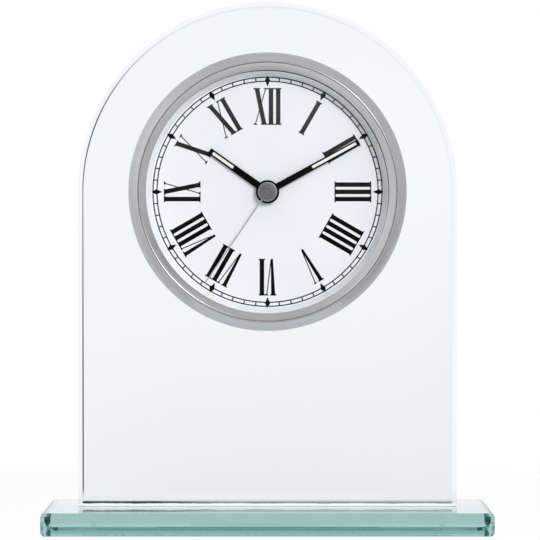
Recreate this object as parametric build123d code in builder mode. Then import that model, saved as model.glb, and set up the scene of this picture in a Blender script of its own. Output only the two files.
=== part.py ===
import os
from math import acos, cos, pi, radians, sin, tan

from build123d import *

# Mantel clock: an arched glass plate bonded to a glass base, with a quartz clock insert.
# Millimetres. X is right, Y is back, Z is up, and the origin is under the middle of the base.
# Depths are measured behind the front face of the plate, along the dial axis.

# Glass base and its pads
BASE_WIDTH = 144.0
BASE_DEPTH = 46.0
BASE_THICKNESS = 7.4
BASE_CHAMFER = 1.0
PAD_DIAMETER = 9.0
PAD_HEIGHT = 0.8
PAD_INSET = 13.0

# Arched glass plate
PANEL_WIDTH = 122.8
PANEL_THICKNESS = 8.0
PANEL_CHAMFER = 1.5
PANEL_SETBACK = 21.0
DIAL_HEIGHT = 102.0
HOLE_CHAMFER = 0.5
BOND_THICKNESS = 0.15

# Bezel, lens and dial
OPENING_RADIUS = 39.2
LIP_COVER = 1.1
CREST_WIDTH = 2.7
BEZEL_SLOPE_WIDTH = 3.1
LIP_THICKNESS = 0.3
CREST_RISE = 1.3
CREST_ROUND = 0.5
BEZEL_RIM = 0.7
LENS_THICKNESS = 1.4
LENS_CLEARANCE = 1.0
DIAL_THICKNESS = 0.6
SPACER_WALL = 0.6
SPACER_SLOPE = 1.5

# Moulded cup and its rubber sleeve
CUP_WALL = 0.9
CUP_BACK = 1.4
CUP_CHAMFER = 1.0
FLANGE_THICKNESS = 0.8
FLANGE_WIDTH = 3.0
LEDGE_WIDTH = 1.8
LEDGE_THICKNESS = 1.0
SLEEVE_THICKNESS = 1.1
SLEEVE_RIB = 0.35
SLEEVE_MARGIN = 0.4

# Hands, with angles clockwise from twelve
HAND_THICKNESS = 0.4
HAND_GAP = 0.6
HOUR_ANGLE = 305.3
HOUR_LENGTH = 23.0
HOUR_WIDTH = 2.25
HOUR_TIP_WIDTH = 2.0
HOUR_BOSS = 3.4
HOUR_SLOT_START = 13.6
HOUR_TIP_BAR = 1.3
HOUR_SLOT_WIDTH = 0.95
MINUTE_ANGLE = 61.3
MINUTE_LENGTH = 33.7
MINUTE_WIDTH = 2.1
MINUTE_TIP_WIDTH = 1.9
MINUTE_BOSS = 3.8
MINUTE_SLOT_START = 16.5
MINUTE_TIP_BAR = 1.1
MINUTE_SLOT_WIDTH = 0.9
SECOND_ANGLE = 214.4
SECOND_LENGTH = 35.7
SECOND_WIDTH = 0.45
SECOND_TIP_WIDTH = 0.3
SECOND_GAP = 0.8
CAP_RADIUS = 3.15
CAP_THICKNESS = 0.6

# Movement plates, pillars and screws
FRONT_PLATE = 1.2
MIDDLE_PLATE = 0.8
REAR_PLATE = 1.0
WHEEL_THICKNESS = 0.7
WHEEL_GAP = 0.3
PLATE_MARGIN = 3.0
PILLAR_RADIUS = 1.6
SCREW_RADIUS = 0.6
SCREW_HEAD_RADIUS = 1.3
SCREW_HEAD_HEIGHT = 0.8
SCREW_BITE = 2.5
CASE_SCREW_LENGTH = 5.0
BOSS_RADIUS = 2.1
BOSS_INSET = 1.2

# Arbors and the nested hand tubes
ARBOR_RADIUS = 0.45
TUBE_WALL = 0.5
BUSH_WALL = 0.85
POST_RADIUS = 0.7
SETTING_ARBOR_RADIUS = 1.0
RUNNING_CLEARANCE = 0.05
FIT_CLEARANCE = 0.1

# Gears, all with the same stub tooth form
PRESSURE_ANGLE = 25.0
ADDENDUM = 0.7
DEDENDUM = 0.9
BACKLASH = 0.05
LEAVES = 8
MOTION_DISTANCE = 7.2
MOTION_ANGLE = 150.0
HOUR_TEETH = 32
MINUTE_TEETH = 24
TRAIN_DISTANCE = 9.0
TRAIN_ANGLE = 20.0
CENTRE_TEETH = 64
THIRD_TEETH = 60
SECOND_DISTANCE = 7.5
SECOND_AXIS_ANGLE = 110.0
SECOND_TEETH = 40
ROTOR_DISTANCE = 7.0
ROTOR_AXIS_ANGLE = 60.0
INTERMEDIATE_TEETH = 48
SPRING_THICKNESS = 0.15

# Stepping motor
ROTOR_RADIUS = 2.6
ROTOR_GAP = 0.5
STATOR_THICKNESS = 0.9
STATOR_RING = 1.4
ARM_SPAN = 10.0
ARM_WIDTH = 3.4
COIL_RISE = 9.0
CORE_SIZE = 2.0
BOBBIN_WALL = 0.5
BOBBIN_FLANGE = 0.8
COIL_RADIUS = 3.4

# Circuit board
BOARD_WIDTH = 12.0
BOARD_HEIGHT = 24.0
BOARD_THICKNESS = 1.0
BOARD_POST = 3.0
BOARD_PEG_RADIUS = 0.7
BOARD_PEG_INSET = 2.0
CRYSTAL_RADIUS = 1.0
CRYSTAL_LENGTH = 6.0
CHIP_RADIUS = 2.4
CHIP_HEIGHT = 0.9

# Cell, its bay and its contacts
CELL_DIAMETER = 14.2
CELL_LENGTH = 49.2
NUB_RADIUS = 2.7
NUB_LENGTH = 1.3
BAY_WALL = 1.0
BAY_CLEARANCE = 0.2
CONTACT_THICKNESS = 0.3
CONTACT_WIDTH = 5.0
CONTACT_TAIL = 2.0
CONTACT_TOUCH = 0.02

# Setting knob
KNOB_RADIUS = 6.0
KNOB_THICKNESS = 2.2
KNOB_GAP = 0.3
KNOB_WELL_DEPTH = 0.6
KNOB_WELL_GAP = 0.8
KNOB_RIBS = 24
KNOB_RIB_DEPTH = 0.35

# Places on the dial axis
base_top = PAD_HEIGHT + BASE_THICKNESS
panel_bottom = base_top + BOND_THICKNESS
dial_z = base_top + DIAL_HEIGHT
panel_y = PANEL_SETBACK - BASE_DEPTH / 2
dial_axis = Axis((0, panel_y, dial_z), (0, 1, 0))
section = Plane(origin=(0, panel_y, dial_z), x_dir=(1, 0, 0), z_dir=(0, 0, 1))

# Depths of the stack, from the bezel back to the cell
lens_back = -FLANGE_THICKNESS
lens_front = lens_back - LENS_THICKNESS
lip_front = lens_front - LIP_THICKNESS
crest_front = lip_front - CREST_RISE
cap_front = lens_back + LENS_CLEARANCE
second_front = cap_front + CAP_THICKNESS
second_back = second_front + HAND_THICKNESS
minute_front = second_back + SECOND_GAP
minute_back = minute_front + HAND_THICKNESS
hour_front = minute_back + HAND_GAP
hour_back = hour_front + HAND_THICKNESS
dial_front = hour_back + HAND_GAP
dial_back = dial_front + DIAL_THICKNESS
plate_back = dial_back + FRONT_PLATE
hour_wheel_back = plate_back + WHEEL_GAP + WHEEL_THICKNESS
minute_wheel_back = hour_wheel_back + WHEEL_GAP + WHEEL_THICKNESS
spring_back = minute_wheel_back + WHEEL_GAP
centre_wheel_back = spring_back + WHEEL_THICKNESS
middle_front = centre_wheel_back + WHEEL_GAP
middle_back = middle_front + MIDDLE_PLATE
third_wheel_back = middle_back + WHEEL_GAP + WHEEL_THICKNESS
second_wheel_back = third_wheel_back + WHEEL_GAP + WHEEL_THICKNESS
intermediate_back = second_wheel_back + WHEEL_GAP + WHEEL_THICKNESS
rear_front = intermediate_back + WHEEL_GAP
rear_back = rear_front + REAR_PLATE
bay_front = plate_back + WHEEL_GAP
bay_floor = bay_front + BAY_WALL
cell_front = bay_floor + BAY_CLEARANCE
cell_depth = cell_front + CELL_DIAMETER / 2
cup_floor = rear_back + SCREW_HEAD_HEIGHT + WHEEL_GAP
cup_back = cup_floor + CUP_BACK
knob_front = cup_back - KNOB_WELL_DEPTH + KNOB_GAP
knob_back = knob_front + KNOB_THICKNESS

# Radii of the nested pieces, from the hand arbor and from the dial opening
minute_bore = ARBOR_RADIUS + RUNNING_CLEARANCE
minute_tube = minute_bore + TUBE_WALL
hour_bore = minute_tube + RUNNING_CLEARANCE
hour_tube = hour_bore + TUBE_WALL
bush_bore = hour_tube + RUNNING_CLEARANCE
bush_radius = bush_bore + BUSH_WALL
setting_bore = SETTING_ARBOR_RADIUS + RUNNING_CLEARANCE
lens_radius = OPENING_RADIUS + LIP_COVER
crest_radius = OPENING_RADIUS + CREST_WIDTH
bezel_radius = crest_radius + BEZEL_SLOPE_WIDTH
spacer_radius = OPENING_RADIUS + SPACER_WALL
cup_bore = spacer_radius + FIT_CLEARANCE
dial_radius = cup_bore - FIT_CLEARANCE / 2
cup_radius = cup_bore + CUP_WALL
flange_radius = cup_radius + FLANGE_WIDTH
hole_radius = cup_radius + SLEEVE_THICKNESS
case_screw_circle = cup_bore - BOSS_INSET - BOSS_RADIUS
arch_radius = PANEL_WIDTH / 2

# Slots of the hands, each closed by a bar at the tip
hour_slot_length = HOUR_LENGTH - HOUR_TIP_BAR - HOUR_SLOT_START
hour_slot_middle = HOUR_SLOT_START + hour_slot_length / 2
minute_slot_length = MINUTE_LENGTH - MINUTE_TIP_BAR - MINUTE_SLOT_START
minute_slot_middle = MINUTE_SLOT_START + minute_slot_length / 2

# Arbor places on the dial plane, x right and y up from the dial centre
minute_axis_x = MOTION_DISTANCE * cos(radians(MOTION_ANGLE))
minute_axis_y = MOTION_DISTANCE * sin(radians(MOTION_ANGLE))
setting_x = 2 * minute_axis_x
setting_y = 2 * minute_axis_y
third_x = TRAIN_DISTANCE * cos(radians(TRAIN_ANGLE))
third_y = TRAIN_DISTANCE * sin(radians(TRAIN_ANGLE))
intermediate_x = SECOND_DISTANCE * cos(radians(SECOND_AXIS_ANGLE))
intermediate_y = SECOND_DISTANCE * sin(radians(SECOND_AXIS_ANGLE))
rotor_x = intermediate_x + ROTOR_DISTANCE * cos(radians(ROTOR_AXIS_ANGLE))
rotor_y = intermediate_y + ROTOR_DISTANCE * sin(radians(ROTOR_AXIS_ANGLE))

# Modules that follow from the distances
hour_module = 2 * MOTION_DISTANCE / (HOUR_TEETH + LEAVES)
minute_module = 2 * MOTION_DISTANCE / (MINUTE_TEETH + LEAVES)
centre_module = 2 * TRAIN_DISTANCE / (CENTRE_TEETH + LEAVES)
third_module = 2 * TRAIN_DISTANCE / (THIRD_TEETH + LEAVES)
second_module = 2 * SECOND_DISTANCE / (SECOND_TEETH + LEAVES)
rotor_module = 2 * ROTOR_DISTANCE / (INTERMEDIATE_TEETH + LEAVES)
centre_tip = centre_module * (CENTRE_TEETH / 2 + ADDENDUM)
third_tip = third_module * (THIRD_TEETH / 2 + ADDENDUM)
third_leaf_tip = centre_module * (LEAVES / 2 + ADDENDUM)

# Edges of the plates, which clear the wheels and carry a pillar at each corner
pillar_left = setting_x - SETTING_ARBOR_RADIUS - PILLAR_RADIUS
pillar_right = third_x + third_tip - PILLAR_RADIUS
pillar_low = min(-centre_tip, third_y - third_tip) + PILLAR_RADIUS
pillar_high = rotor_y + PILLAR_RADIUS
plate_left = pillar_left - PLATE_MARGIN
plate_right = pillar_right + PLATE_MARGIN
plate_low = pillar_low - PLATE_MARGIN
plate_high = pillar_high + PLATE_MARGIN
pillars = [(x, y) for x in (pillar_left, pillar_right) for y in (pillar_low, pillar_high)]

# Cell bay, under the plates
wall_top = plate_low - WHEEL_GAP - CONTACT_THICKNESS
bay_top = wall_top - BAY_WALL
cell_y = bay_top - BAY_CLEARANCE - CELL_DIAMETER / 2
cell_end = (CELL_LENGTH + NUB_LENGTH) / 2
contact_inner = cell_end + CONTACT_TOUCH
bay_end = contact_inner + CONTACT_THICKNESS + BAY_CLEARANCE
contact_back = cup_floor - BAY_CLEARANCE

# Motor and board places
stator_back = second_wheel_back
stator_front = stator_back - STATOR_THICKNESS
stator_hole = ROTOR_RADIUS + ROTOR_GAP
coil_y = rotor_y + COIL_RISE
coil_depth = stator_front - CORE_SIZE / 2
bobbin_half = ARM_SPAN - ARM_WIDTH / 2 - FIT_CLEARANCE
board_left = plate_right + WHEEL_GAP
board_x = board_left + BOARD_WIDTH / 2
board_low = wall_top + 2 * CONTACT_THICKNESS
board_y = board_low + BOARD_HEIGHT / 2
board_front = plate_back + BOARD_POST
board_back = board_front + BOARD_THICKNESS


def level(depth, x=0.0, y=0.0):
    # A plane parallel to the dial, facing the front, with its origin at x, y on the dial
    return Plane(origin=(x, panel_y + depth, dial_z + y), x_dir=(1, 0, 0), z_dir=(0, -1, 0))


def hand_level(depth, angle):
    # A plane like level, with its x along a hand
    turn = radians(angle)
    return Plane(
        origin=(0, panel_y + depth, dial_z), x_dir=(sin(turn), 0, cos(turn)), z_dir=(0, -1, 0)
    )


def involute(angle):
    return tan(angle) - angle


def gear_points(teeth, module, first_tooth, radii):
    # Tooth flanks through the given radii, in pitch radii from the gear's centre outwards
    pitch_radius = teeth * module / 2
    pressure = radians(PRESSURE_ANGLE)
    base_radius = pitch_radius * cos(pressure)
    flank = []
    for radius in radii:
        rolled = acos(min(1.0, base_radius / radius))
        half = pi / (2 * teeth) - BACKLASH / (4 * pitch_radius)
        flank.append((radius, half + involute(pressure) - involute(rolled)))
    points = []
    for tooth in range(teeth):
        middle = radians(first_tooth) + 2 * pi * tooth / teeth
        for radius, half in flank:
            points.append((radius * cos(middle - half), radius * sin(middle - half)))
        for radius, half in reversed(flank):
            points.append((radius * cos(middle + half), radius * sin(middle + half)))
    return points


def wheel_points(teeth, module, first_tooth):
    pitch_radius = teeth * module / 2
    radii = [pitch_radius - DEDENDUM * module, pitch_radius + ADDENDUM * module]
    return gear_points(teeth, module, first_tooth, radii)


def pinion_points(module, first_tooth):
    pitch_radius = LEAVES * module / 2
    base_radius = pitch_radius * cos(radians(PRESSURE_ANGLE))
    root_radius = pitch_radius - DEDENDUM * module
    radii = [root_radius, base_radius, pitch_radius, pitch_radius + ADDENDUM * module]
    return gear_points(LEAVES, module, first_tooth, radii)


half_wheel = 180.0 / MINUTE_TEETH
half_leaf = 180.0 / LEAVES

# Glass base
with BuildPart() as glass_base:
    with BuildSketch(Plane.XY.offset(PAD_HEIGHT)):
        Rectangle(BASE_WIDTH, BASE_DEPTH)
    extrude(amount=BASE_THICKNESS)
    chamfer(glass_base.edges(), BASE_CHAMFER)

# Four clear pads under the base
with BuildPart() as base_pads:
    with BuildSketch(Plane.XY):
        with GridLocations(BASE_WIDTH - 2 * PAD_INSET, BASE_DEPTH - 2 * PAD_INSET, 2, 2):
            Circle(PAD_DIAMETER / 2)
    extrude(amount=PAD_HEIGHT)

# Arched glass plate with the round hole for the insert
with BuildPart() as glass_panel:
    with BuildSketch(level(PANEL_THICKNESS)) as arch:
        Circle(arch_radius)
        with Locations((0, (panel_bottom - dial_z) / 2)):
            Rectangle(PANEL_WIDTH, dial_z - panel_bottom)
    extrude(amount=PANEL_THICKNESS)
    chamfer(glass_panel.faces().sort_by(Axis.Y)[0].edges(), PANEL_CHAMFER)
    chamfer(glass_panel.faces().sort_by(Axis.Y)[-1].edges(), PANEL_CHAMFER)
    with BuildSketch(level(PANEL_THICKNESS)):
        Circle(hole_radius)
    extrude(amount=PANEL_THICKNESS, mode=Mode.SUBTRACT)
    rims = glass_panel.edges().filter_by(GeomType.CIRCLE).sort_by(SortBy.RADIUS)
    chamfer(rims.filter_by(lambda rim: abs(rim.radius - hole_radius) < 0.01), HOLE_CHAMFER)

# Clear adhesive film under the plate
with BuildPart() as bond_film:
    with BuildSketch(Plane.XY.offset(base_top)):
        with Locations((0, panel_y + PANEL_THICKNESS / 2)):
            Rectangle(PANEL_WIDTH - 2 * PANEL_CHAMFER, PANEL_THICKNESS - 2 * PANEL_CHAMFER)
    extrude(amount=BOND_THICKNESS)

# Bezel: an outer slope, a crest and an inner slope, with a rim that clips over the cup flange
with BuildPart() as bezel:
    with BuildSketch(section) as bezel_outline:
        with BuildLine():
            Polyline(
                (OPENING_RADIUS, lip_front),
                (crest_radius, crest_front),
                (bezel_radius, -BEZEL_RIM),
                (bezel_radius, 0),
                (flange_radius + FIT_CLEARANCE, 0),
                (flange_radius + FIT_CLEARANCE, -FLANGE_THICKNESS),
                (lens_radius + FIT_CLEARANCE, -FLANGE_THICKNESS),
                (lens_radius + FIT_CLEARANCE, lens_front),
                (OPENING_RADIUS, lens_front),
                close=True,
            )
        make_face()
        fillet(bezel_outline.vertices().sort_by(Axis.Y)[0], CREST_ROUND)
    revolve(axis=dial_axis)

# Flat lens held between the bezel lip and the cup flange
with BuildPart() as lens:
    with BuildSketch(level(lens_back)):
        Circle(lens_radius)
    extrude(amount=LENS_THICKNESS)

# Moulded cup with its flange, ledge, cell bay and screw bosses
with BuildPart() as housing_cup:
    with BuildSketch(section):
        with BuildLine():
            Polyline(
                (cup_bore, -FLANGE_THICKNESS),
                (flange_radius, -FLANGE_THICKNESS),
                (flange_radius, 0),
                (cup_radius, 0),
                (cup_radius, cup_back - CUP_CHAMFER),
                (cup_radius - CUP_CHAMFER, cup_back),
                (0, cup_back),
                (0, cup_floor),
                (cup_bore, cup_floor),
                (cup_bore, plate_back + LEDGE_THICKNESS),
                (cup_bore - LEDGE_WIDTH, plate_back + LEDGE_THICKNESS),
                (cup_bore - LEDGE_WIDTH, plate_back),
                (cup_bore, plate_back),
                close=True,
            )
        make_face()
    revolve(axis=dial_axis)
    with BuildSketch(level(cup_floor)):
        with PolarLocations(case_screw_circle, 3, 90):
            Circle(BOSS_RADIUS)
    extrude(amount=cup_floor - plate_back)
    with BuildSketch(level(cup_floor, 0, cell_y)):
        Rectangle(2 * (bay_end + BAY_WALL), CELL_DIAMETER + 2 * (BAY_CLEARANCE + BAY_WALL))
    extrude(amount=cup_floor - bay_front)
    with BuildSketch(level(cup_back, 0, cell_y)):
        Rectangle(2 * bay_end, CELL_DIAMETER + 2 * BAY_CLEARANCE)
    extrude(amount=cup_back - bay_floor, mode=Mode.SUBTRACT)
    with BuildSketch(level(cup_back)):
        with Locations((setting_x, setting_y)):
            Circle(KNOB_RADIUS + KNOB_WELL_GAP)
    extrude(amount=KNOB_WELL_DEPTH, mode=Mode.SUBTRACT)
    with BuildSketch(level(cup_back)):
        with Locations((setting_x, setting_y)):
            Circle(setting_bore)
    extrude(amount=CUP_BACK, mode=Mode.SUBTRACT)
    with BuildSketch(level(plate_back + CASE_SCREW_LENGTH)):
        with PolarLocations(case_screw_circle, 3, 90):
            Circle(SCREW_RADIUS)
    extrude(amount=CASE_SCREW_LENGTH, mode=Mode.SUBTRACT)
    with BuildSketch(level(contact_back)):
        for side in (-1, 1):
            with Locations((side * (contact_inner + CONTACT_THICKNESS / 2), bay_top + BAY_WALL / 2)):
                Rectangle(CONTACT_THICKNESS + 2 * FIT_CLEARANCE, BAY_WALL + 2 * FIT_CLEARANCE)
    extrude(amount=CONTACT_WIDTH, mode=Mode.SUBTRACT)

# Rubber sleeve that grips the cup in the hole of the plate
with BuildPart() as retaining_sleeve:
    sleeve_front = SLEEVE_MARGIN
    sleeve_back = PANEL_THICKNESS - SLEEVE_MARGIN
    rib_pitch = (sleeve_back - sleeve_front) / 4
    outline = [(cup_radius, sleeve_back), (cup_radius, sleeve_front)]
    for rib in range(4):
        start = sleeve_front + rib * rib_pitch
        outline.append((hole_radius - SLEEVE_RIB, start))
        outline.append((hole_radius, start + rib_pitch / 2))
    outline.append((hole_radius - SLEEVE_RIB, sleeve_back))
    with BuildSketch(section):
        with BuildLine():
            Polyline(*outline, close=True)
        make_face()
    revolve(axis=dial_axis)

# White ring between the lens and the dial, opening out to the front
with BuildPart() as spacer_ring:
    with BuildSketch(section):
        with BuildLine():
            Polyline(
                (OPENING_RADIUS, lens_back),
                (spacer_radius, lens_back),
                (spacer_radius, dial_front),
                (OPENING_RADIUS - SPACER_SLOPE, dial_front),
                close=True,
            )
        make_face()
    revolve(axis=dial_axis)

# Dial
with BuildPart() as dial_plate:
    with BuildSketch(level(dial_back)):
        Circle(dial_radius)
        Circle(bush_radius + FIT_CLEARANCE, mode=Mode.SUBTRACT)
    extrude(amount=DIAL_THICKNESS)

# Hour hand with its slot
with BuildPart() as hour_hand:
    with BuildSketch(hand_level(hour_back, HOUR_ANGLE)):
        with BuildLine():
            Polyline(
                (0, -HOUR_WIDTH / 2),
                (HOUR_LENGTH, -HOUR_TIP_WIDTH / 2),
                (HOUR_LENGTH, HOUR_TIP_WIDTH / 2),
                (0, HOUR_WIDTH / 2),
                close=True,
            )
        make_face()
        Circle(HOUR_BOSS)
        Circle(hour_tube, mode=Mode.SUBTRACT)
        with Locations((hour_slot_middle, 0)):
            Rectangle(hour_slot_length, HOUR_SLOT_WIDTH, mode=Mode.SUBTRACT)
    extrude(amount=HAND_THICKNESS)

# Pale filling of the hour hand's slot
with BuildPart() as hour_hand_lume:
    with BuildSketch(hand_level(hour_back, HOUR_ANGLE)):
        with Locations((hour_slot_middle, 0)):
            Rectangle(hour_slot_length, HOUR_SLOT_WIDTH)
    extrude(amount=HAND_THICKNESS)

# Minute hand with its slot
with BuildPart() as minute_hand:
    with BuildSketch(hand_level(minute_back, MINUTE_ANGLE)):
        with BuildLine():
            Polyline(
                (0, -MINUTE_WIDTH / 2),
                (MINUTE_LENGTH, -MINUTE_TIP_WIDTH / 2),
                (MINUTE_LENGTH, MINUTE_TIP_WIDTH / 2),
                (0, MINUTE_WIDTH / 2),
                close=True,
            )
        make_face()
        Circle(MINUTE_BOSS)
        Circle(minute_tube, mode=Mode.SUBTRACT)
        with Locations((minute_slot_middle, 0)):
            Rectangle(minute_slot_length, MINUTE_SLOT_WIDTH, mode=Mode.SUBTRACT)
    extrude(amount=HAND_THICKNESS)

# Pale filling of the minute hand's slot
with BuildPart() as minute_hand_lume:
    with BuildSketch(hand_level(minute_back, MINUTE_ANGLE)):
        with Locations((minute_slot_middle, 0)):
            Rectangle(minute_slot_length, MINUTE_SLOT_WIDTH)
    extrude(amount=HAND_THICKNESS)

# Thin second hand
with BuildPart() as second_hand:
    with BuildSketch(hand_level(second_back, SECOND_ANGLE)):
        with BuildLine():
            Polyline(
                (0, -SECOND_WIDTH / 2),
                (SECOND_LENGTH, -SECOND_TIP_WIDTH / 2),
                (SECOND_LENGTH, SECOND_TIP_WIDTH / 2),
                (0, SECOND_WIDTH / 2),
                close=True,
            )
        make_face()
        Circle(bush_bore)
        Circle(ARBOR_RADIUS, mode=Mode.SUBTRACT)
    extrude(amount=HAND_THICKNESS)

# Metal cap over the hand centre
with BuildPart() as second_hand_cap:
    with BuildSketch(level(second_front)):
        Circle(CAP_RADIUS)
    extrude(amount=CAP_THICKNESS)
    chamfer(second_hand_cap.faces().sort_by(Axis.Y)[0].edges(), CAP_THICKNESS / 3)

# Front plate of the movement: a full disc with its bush, wheel post, pillars and board posts
with BuildPart() as movement_front_plate:
    board_pegs = [
        (board_x - BOARD_WIDTH / 2 + BOARD_PEG_INSET, board_y + BOARD_HEIGHT / 2 - BOARD_PEG_INSET),
        (board_x + BOARD_WIDTH / 2 - BOARD_PEG_INSET, board_y - BOARD_HEIGHT / 2 + BOARD_PEG_INSET),
    ]
    with BuildSketch(level(plate_back)):
        Circle(dial_radius)
    extrude(amount=FRONT_PLATE)
    with BuildSketch(level(dial_back)):
        Circle(bush_radius)
    extrude(amount=DIAL_THICKNESS + HAND_GAP / 2)
    with BuildSketch(level(middle_front)):
        with Locations(*pillars):
            Circle(PILLAR_RADIUS)
    extrude(amount=middle_front - plate_back)
    with BuildSketch(level(minute_wheel_back + WHEEL_GAP / 3)):
        with Locations((minute_axis_x, minute_axis_y)):
            Circle(POST_RADIUS)
    extrude(amount=minute_wheel_back + WHEEL_GAP / 3 - plate_back)
    with BuildSketch(level(board_front)):
        with Locations(*board_pegs):
            Circle(2 * BOARD_PEG_RADIUS)
    extrude(amount=board_front - plate_back)
    with BuildSketch(level(board_back + BOARD_THICKNESS / 2)):
        with Locations(*board_pegs):
            Circle(BOARD_PEG_RADIUS)
    extrude(amount=board_back + BOARD_THICKNESS / 2 - board_front)
    with BuildSketch(level(plate_back)):
        Circle(bush_bore)
        with Locations((third_x, third_y)):
            Circle(ARBOR_RADIUS + RUNNING_CLEARANCE)
        with Locations((setting_x, setting_y)):
            Circle(setting_bore)
        with PolarLocations(case_screw_circle, 3, 90):
            Circle(SCREW_RADIUS + FIT_CLEARANCE)
    extrude(amount=plate_back, mode=Mode.SUBTRACT)
    with BuildSketch(level(dial_back + SCREW_HEAD_HEIGHT)):
        with PolarLocations(case_screw_circle, 3, 90):
            Circle(SCREW_HEAD_RADIUS + FIT_CLEARANCE)
    extrude(amount=SCREW_HEAD_HEIGHT, mode=Mode.SUBTRACT)
    with BuildSketch(level(middle_front)):
        with Locations(*pillars):
            Circle(SCREW_RADIUS)
    extrude(amount=SCREW_BITE, mode=Mode.SUBTRACT)

# Middle plate, with its own pillars and the two pegs that carry the stator
with BuildPart() as movement_middle_plate:
    plate_x = (plate_left + plate_right) / 2
    plate_y = (plate_low + plate_high) / 2
    stator_pegs = [(rotor_x - ARM_SPAN, rotor_y), (rotor_x + ARM_SPAN, rotor_y)]
    with BuildSketch(level(middle_back, plate_x, plate_y)):
        RectangleRounded(plate_right - plate_left, plate_high - plate_low, PLATE_MARGIN)
    extrude(amount=MIDDLE_PLATE)
    with BuildSketch(level(rear_front)):
        with Locations(*pillars):
            Circle(PILLAR_RADIUS)
    extrude(amount=rear_front - middle_back)
    with BuildSketch(level(stator_front)):
        with Locations(*stator_pegs):
            Circle(ARM_WIDTH / 2)
    extrude(amount=stator_front - middle_back)
    with BuildSketch(level(stator_back)):
        with Locations(*stator_pegs):
            Circle(BOARD_PEG_RADIUS)
    extrude(amount=STATOR_THICKNESS)
    with BuildSketch(level(rear_front)):
        with Locations(*pillars):
            Circle(SCREW_RADIUS + FIT_CLEARANCE)
        with Locations((0, 0), (intermediate_x, intermediate_y), (rotor_x, rotor_y)):
            Circle(ARBOR_RADIUS + RUNNING_CLEARANCE)
        with Locations((third_x, third_y)):
            Circle(third_leaf_tip + FIT_CLEARANCE)
        with Locations((setting_x, setting_y)):
            Circle(setting_bore)
    extrude(amount=rear_front - middle_front, mode=Mode.SUBTRACT)

# Rear plate
with BuildPart() as movement_rear_plate:
    with BuildSketch(level(rear_back, plate_x, plate_y)):
        RectangleRounded(plate_right - plate_left, plate_high - plate_low, PLATE_MARGIN)
    extrude(amount=REAR_PLATE)
    with BuildSketch(level(rear_back)):
        with Locations(*pillars):
            Circle(SCREW_RADIUS + FIT_CLEARANCE)
        arbors = [(0, 0), (third_x, third_y), (intermediate_x, intermediate_y), (rotor_x, rotor_y)]
        with Locations(*arbors):
            Circle(ARBOR_RADIUS + RUNNING_CLEARANCE)
        with Locations((setting_x, setting_y)):
            Circle(setting_bore)
    extrude(amount=REAR_PLATE, mode=Mode.SUBTRACT)

# Four screws through both plates into the front plate's pillars
with BuildPart() as plate_screws:
    with BuildSketch(level(rear_back)):
        with Locations(*pillars):
            Circle(SCREW_RADIUS)
    extrude(amount=rear_back - middle_front + SCREW_BITE)
    with BuildSketch(level(rear_back + SCREW_HEAD_HEIGHT)):
        with Locations(*pillars):
            Circle(SCREW_HEAD_RADIUS)
            Rectangle(2 * SCREW_HEAD_RADIUS, SCREW_RADIUS / 2, mode=Mode.SUBTRACT)
    extrude(amount=SCREW_HEAD_HEIGHT / 2)
    with BuildSketch(level(rear_back + SCREW_HEAD_HEIGHT / 2)):
        with Locations(*pillars):
            Circle(SCREW_HEAD_RADIUS)
    extrude(amount=SCREW_HEAD_HEIGHT / 2)

# Three screws that hold the front plate to the cup
with BuildPart() as case_screws:
    with BuildSketch(level(plate_back + CASE_SCREW_LENGTH)):
        with PolarLocations(case_screw_circle, 3, 90):
            Circle(SCREW_RADIUS)
    extrude(amount=plate_back + CASE_SCREW_LENGTH - dial_back)
    with BuildSketch(level(dial_back + SCREW_HEAD_HEIGHT)):
        with PolarLocations(case_screw_circle, 3, 90):
            Circle(SCREW_HEAD_RADIUS)
    extrude(amount=SCREW_HEAD_HEIGHT - FIT_CLEARANCE)

# Hour wheel and its tube
with BuildPart() as hour_wheel:
    with BuildSketch(level(hour_wheel_back)):
        with BuildLine():
            Polyline(*wheel_points(HOUR_TEETH, hour_module, MOTION_ANGLE), close=True)
        make_face()
    extrude(amount=WHEEL_THICKNESS)
    with BuildSketch(level(hour_wheel_back)):
        Circle(hour_tube)
    extrude(amount=hour_wheel_back - hour_front)
    with BuildSketch(level(hour_wheel_back)):
        Circle(hour_bore)
    extrude(amount=hour_wheel_back - hour_front, mode=Mode.SUBTRACT)

# Cannon pinion on the minute hand's tube
with BuildPart() as cannon_pinion:
    with BuildSketch(level(minute_wheel_back)):
        with BuildLine():
            Polyline(*pinion_points(minute_module, MOTION_ANGLE), close=True)
        make_face()
    extrude(amount=WHEEL_THICKNESS)
    with BuildSketch(level(centre_wheel_back)):
        Circle(minute_tube)
    extrude(amount=centre_wheel_back - minute_front)
    with BuildSketch(level(centre_wheel_back)):
        Circle(minute_bore)
    extrude(amount=centre_wheel_back - minute_front, mode=Mode.SUBTRACT)

# Minute wheel and its pinion, which turn on the front plate's post
with BuildPart() as minute_wheel:
    minute_first = MOTION_ANGLE + 180 + half_wheel
    with BuildSketch(level(minute_wheel_back, minute_axis_x, minute_axis_y)):
        with BuildLine():
            Polyline(*wheel_points(MINUTE_TEETH, minute_module, minute_first), close=True)
        make_face()
    extrude(amount=WHEEL_THICKNESS)
    minute_leaf = MOTION_ANGLE + 180 + half_leaf
    with BuildSketch(level(minute_wheel_back, minute_axis_x, minute_axis_y)):
        with BuildLine():
            Polyline(*pinion_points(hour_module, minute_leaf), close=True)
        make_face()
    extrude(amount=minute_wheel_back - hour_wheel_back + WHEEL_THICKNESS)
    with BuildSketch(level(minute_wheel_back, minute_axis_x, minute_axis_y)):
        Circle(POST_RADIUS + RUNNING_CLEARANCE)
    extrude(amount=minute_wheel_back - plate_back, mode=Mode.SUBTRACT)

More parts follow.
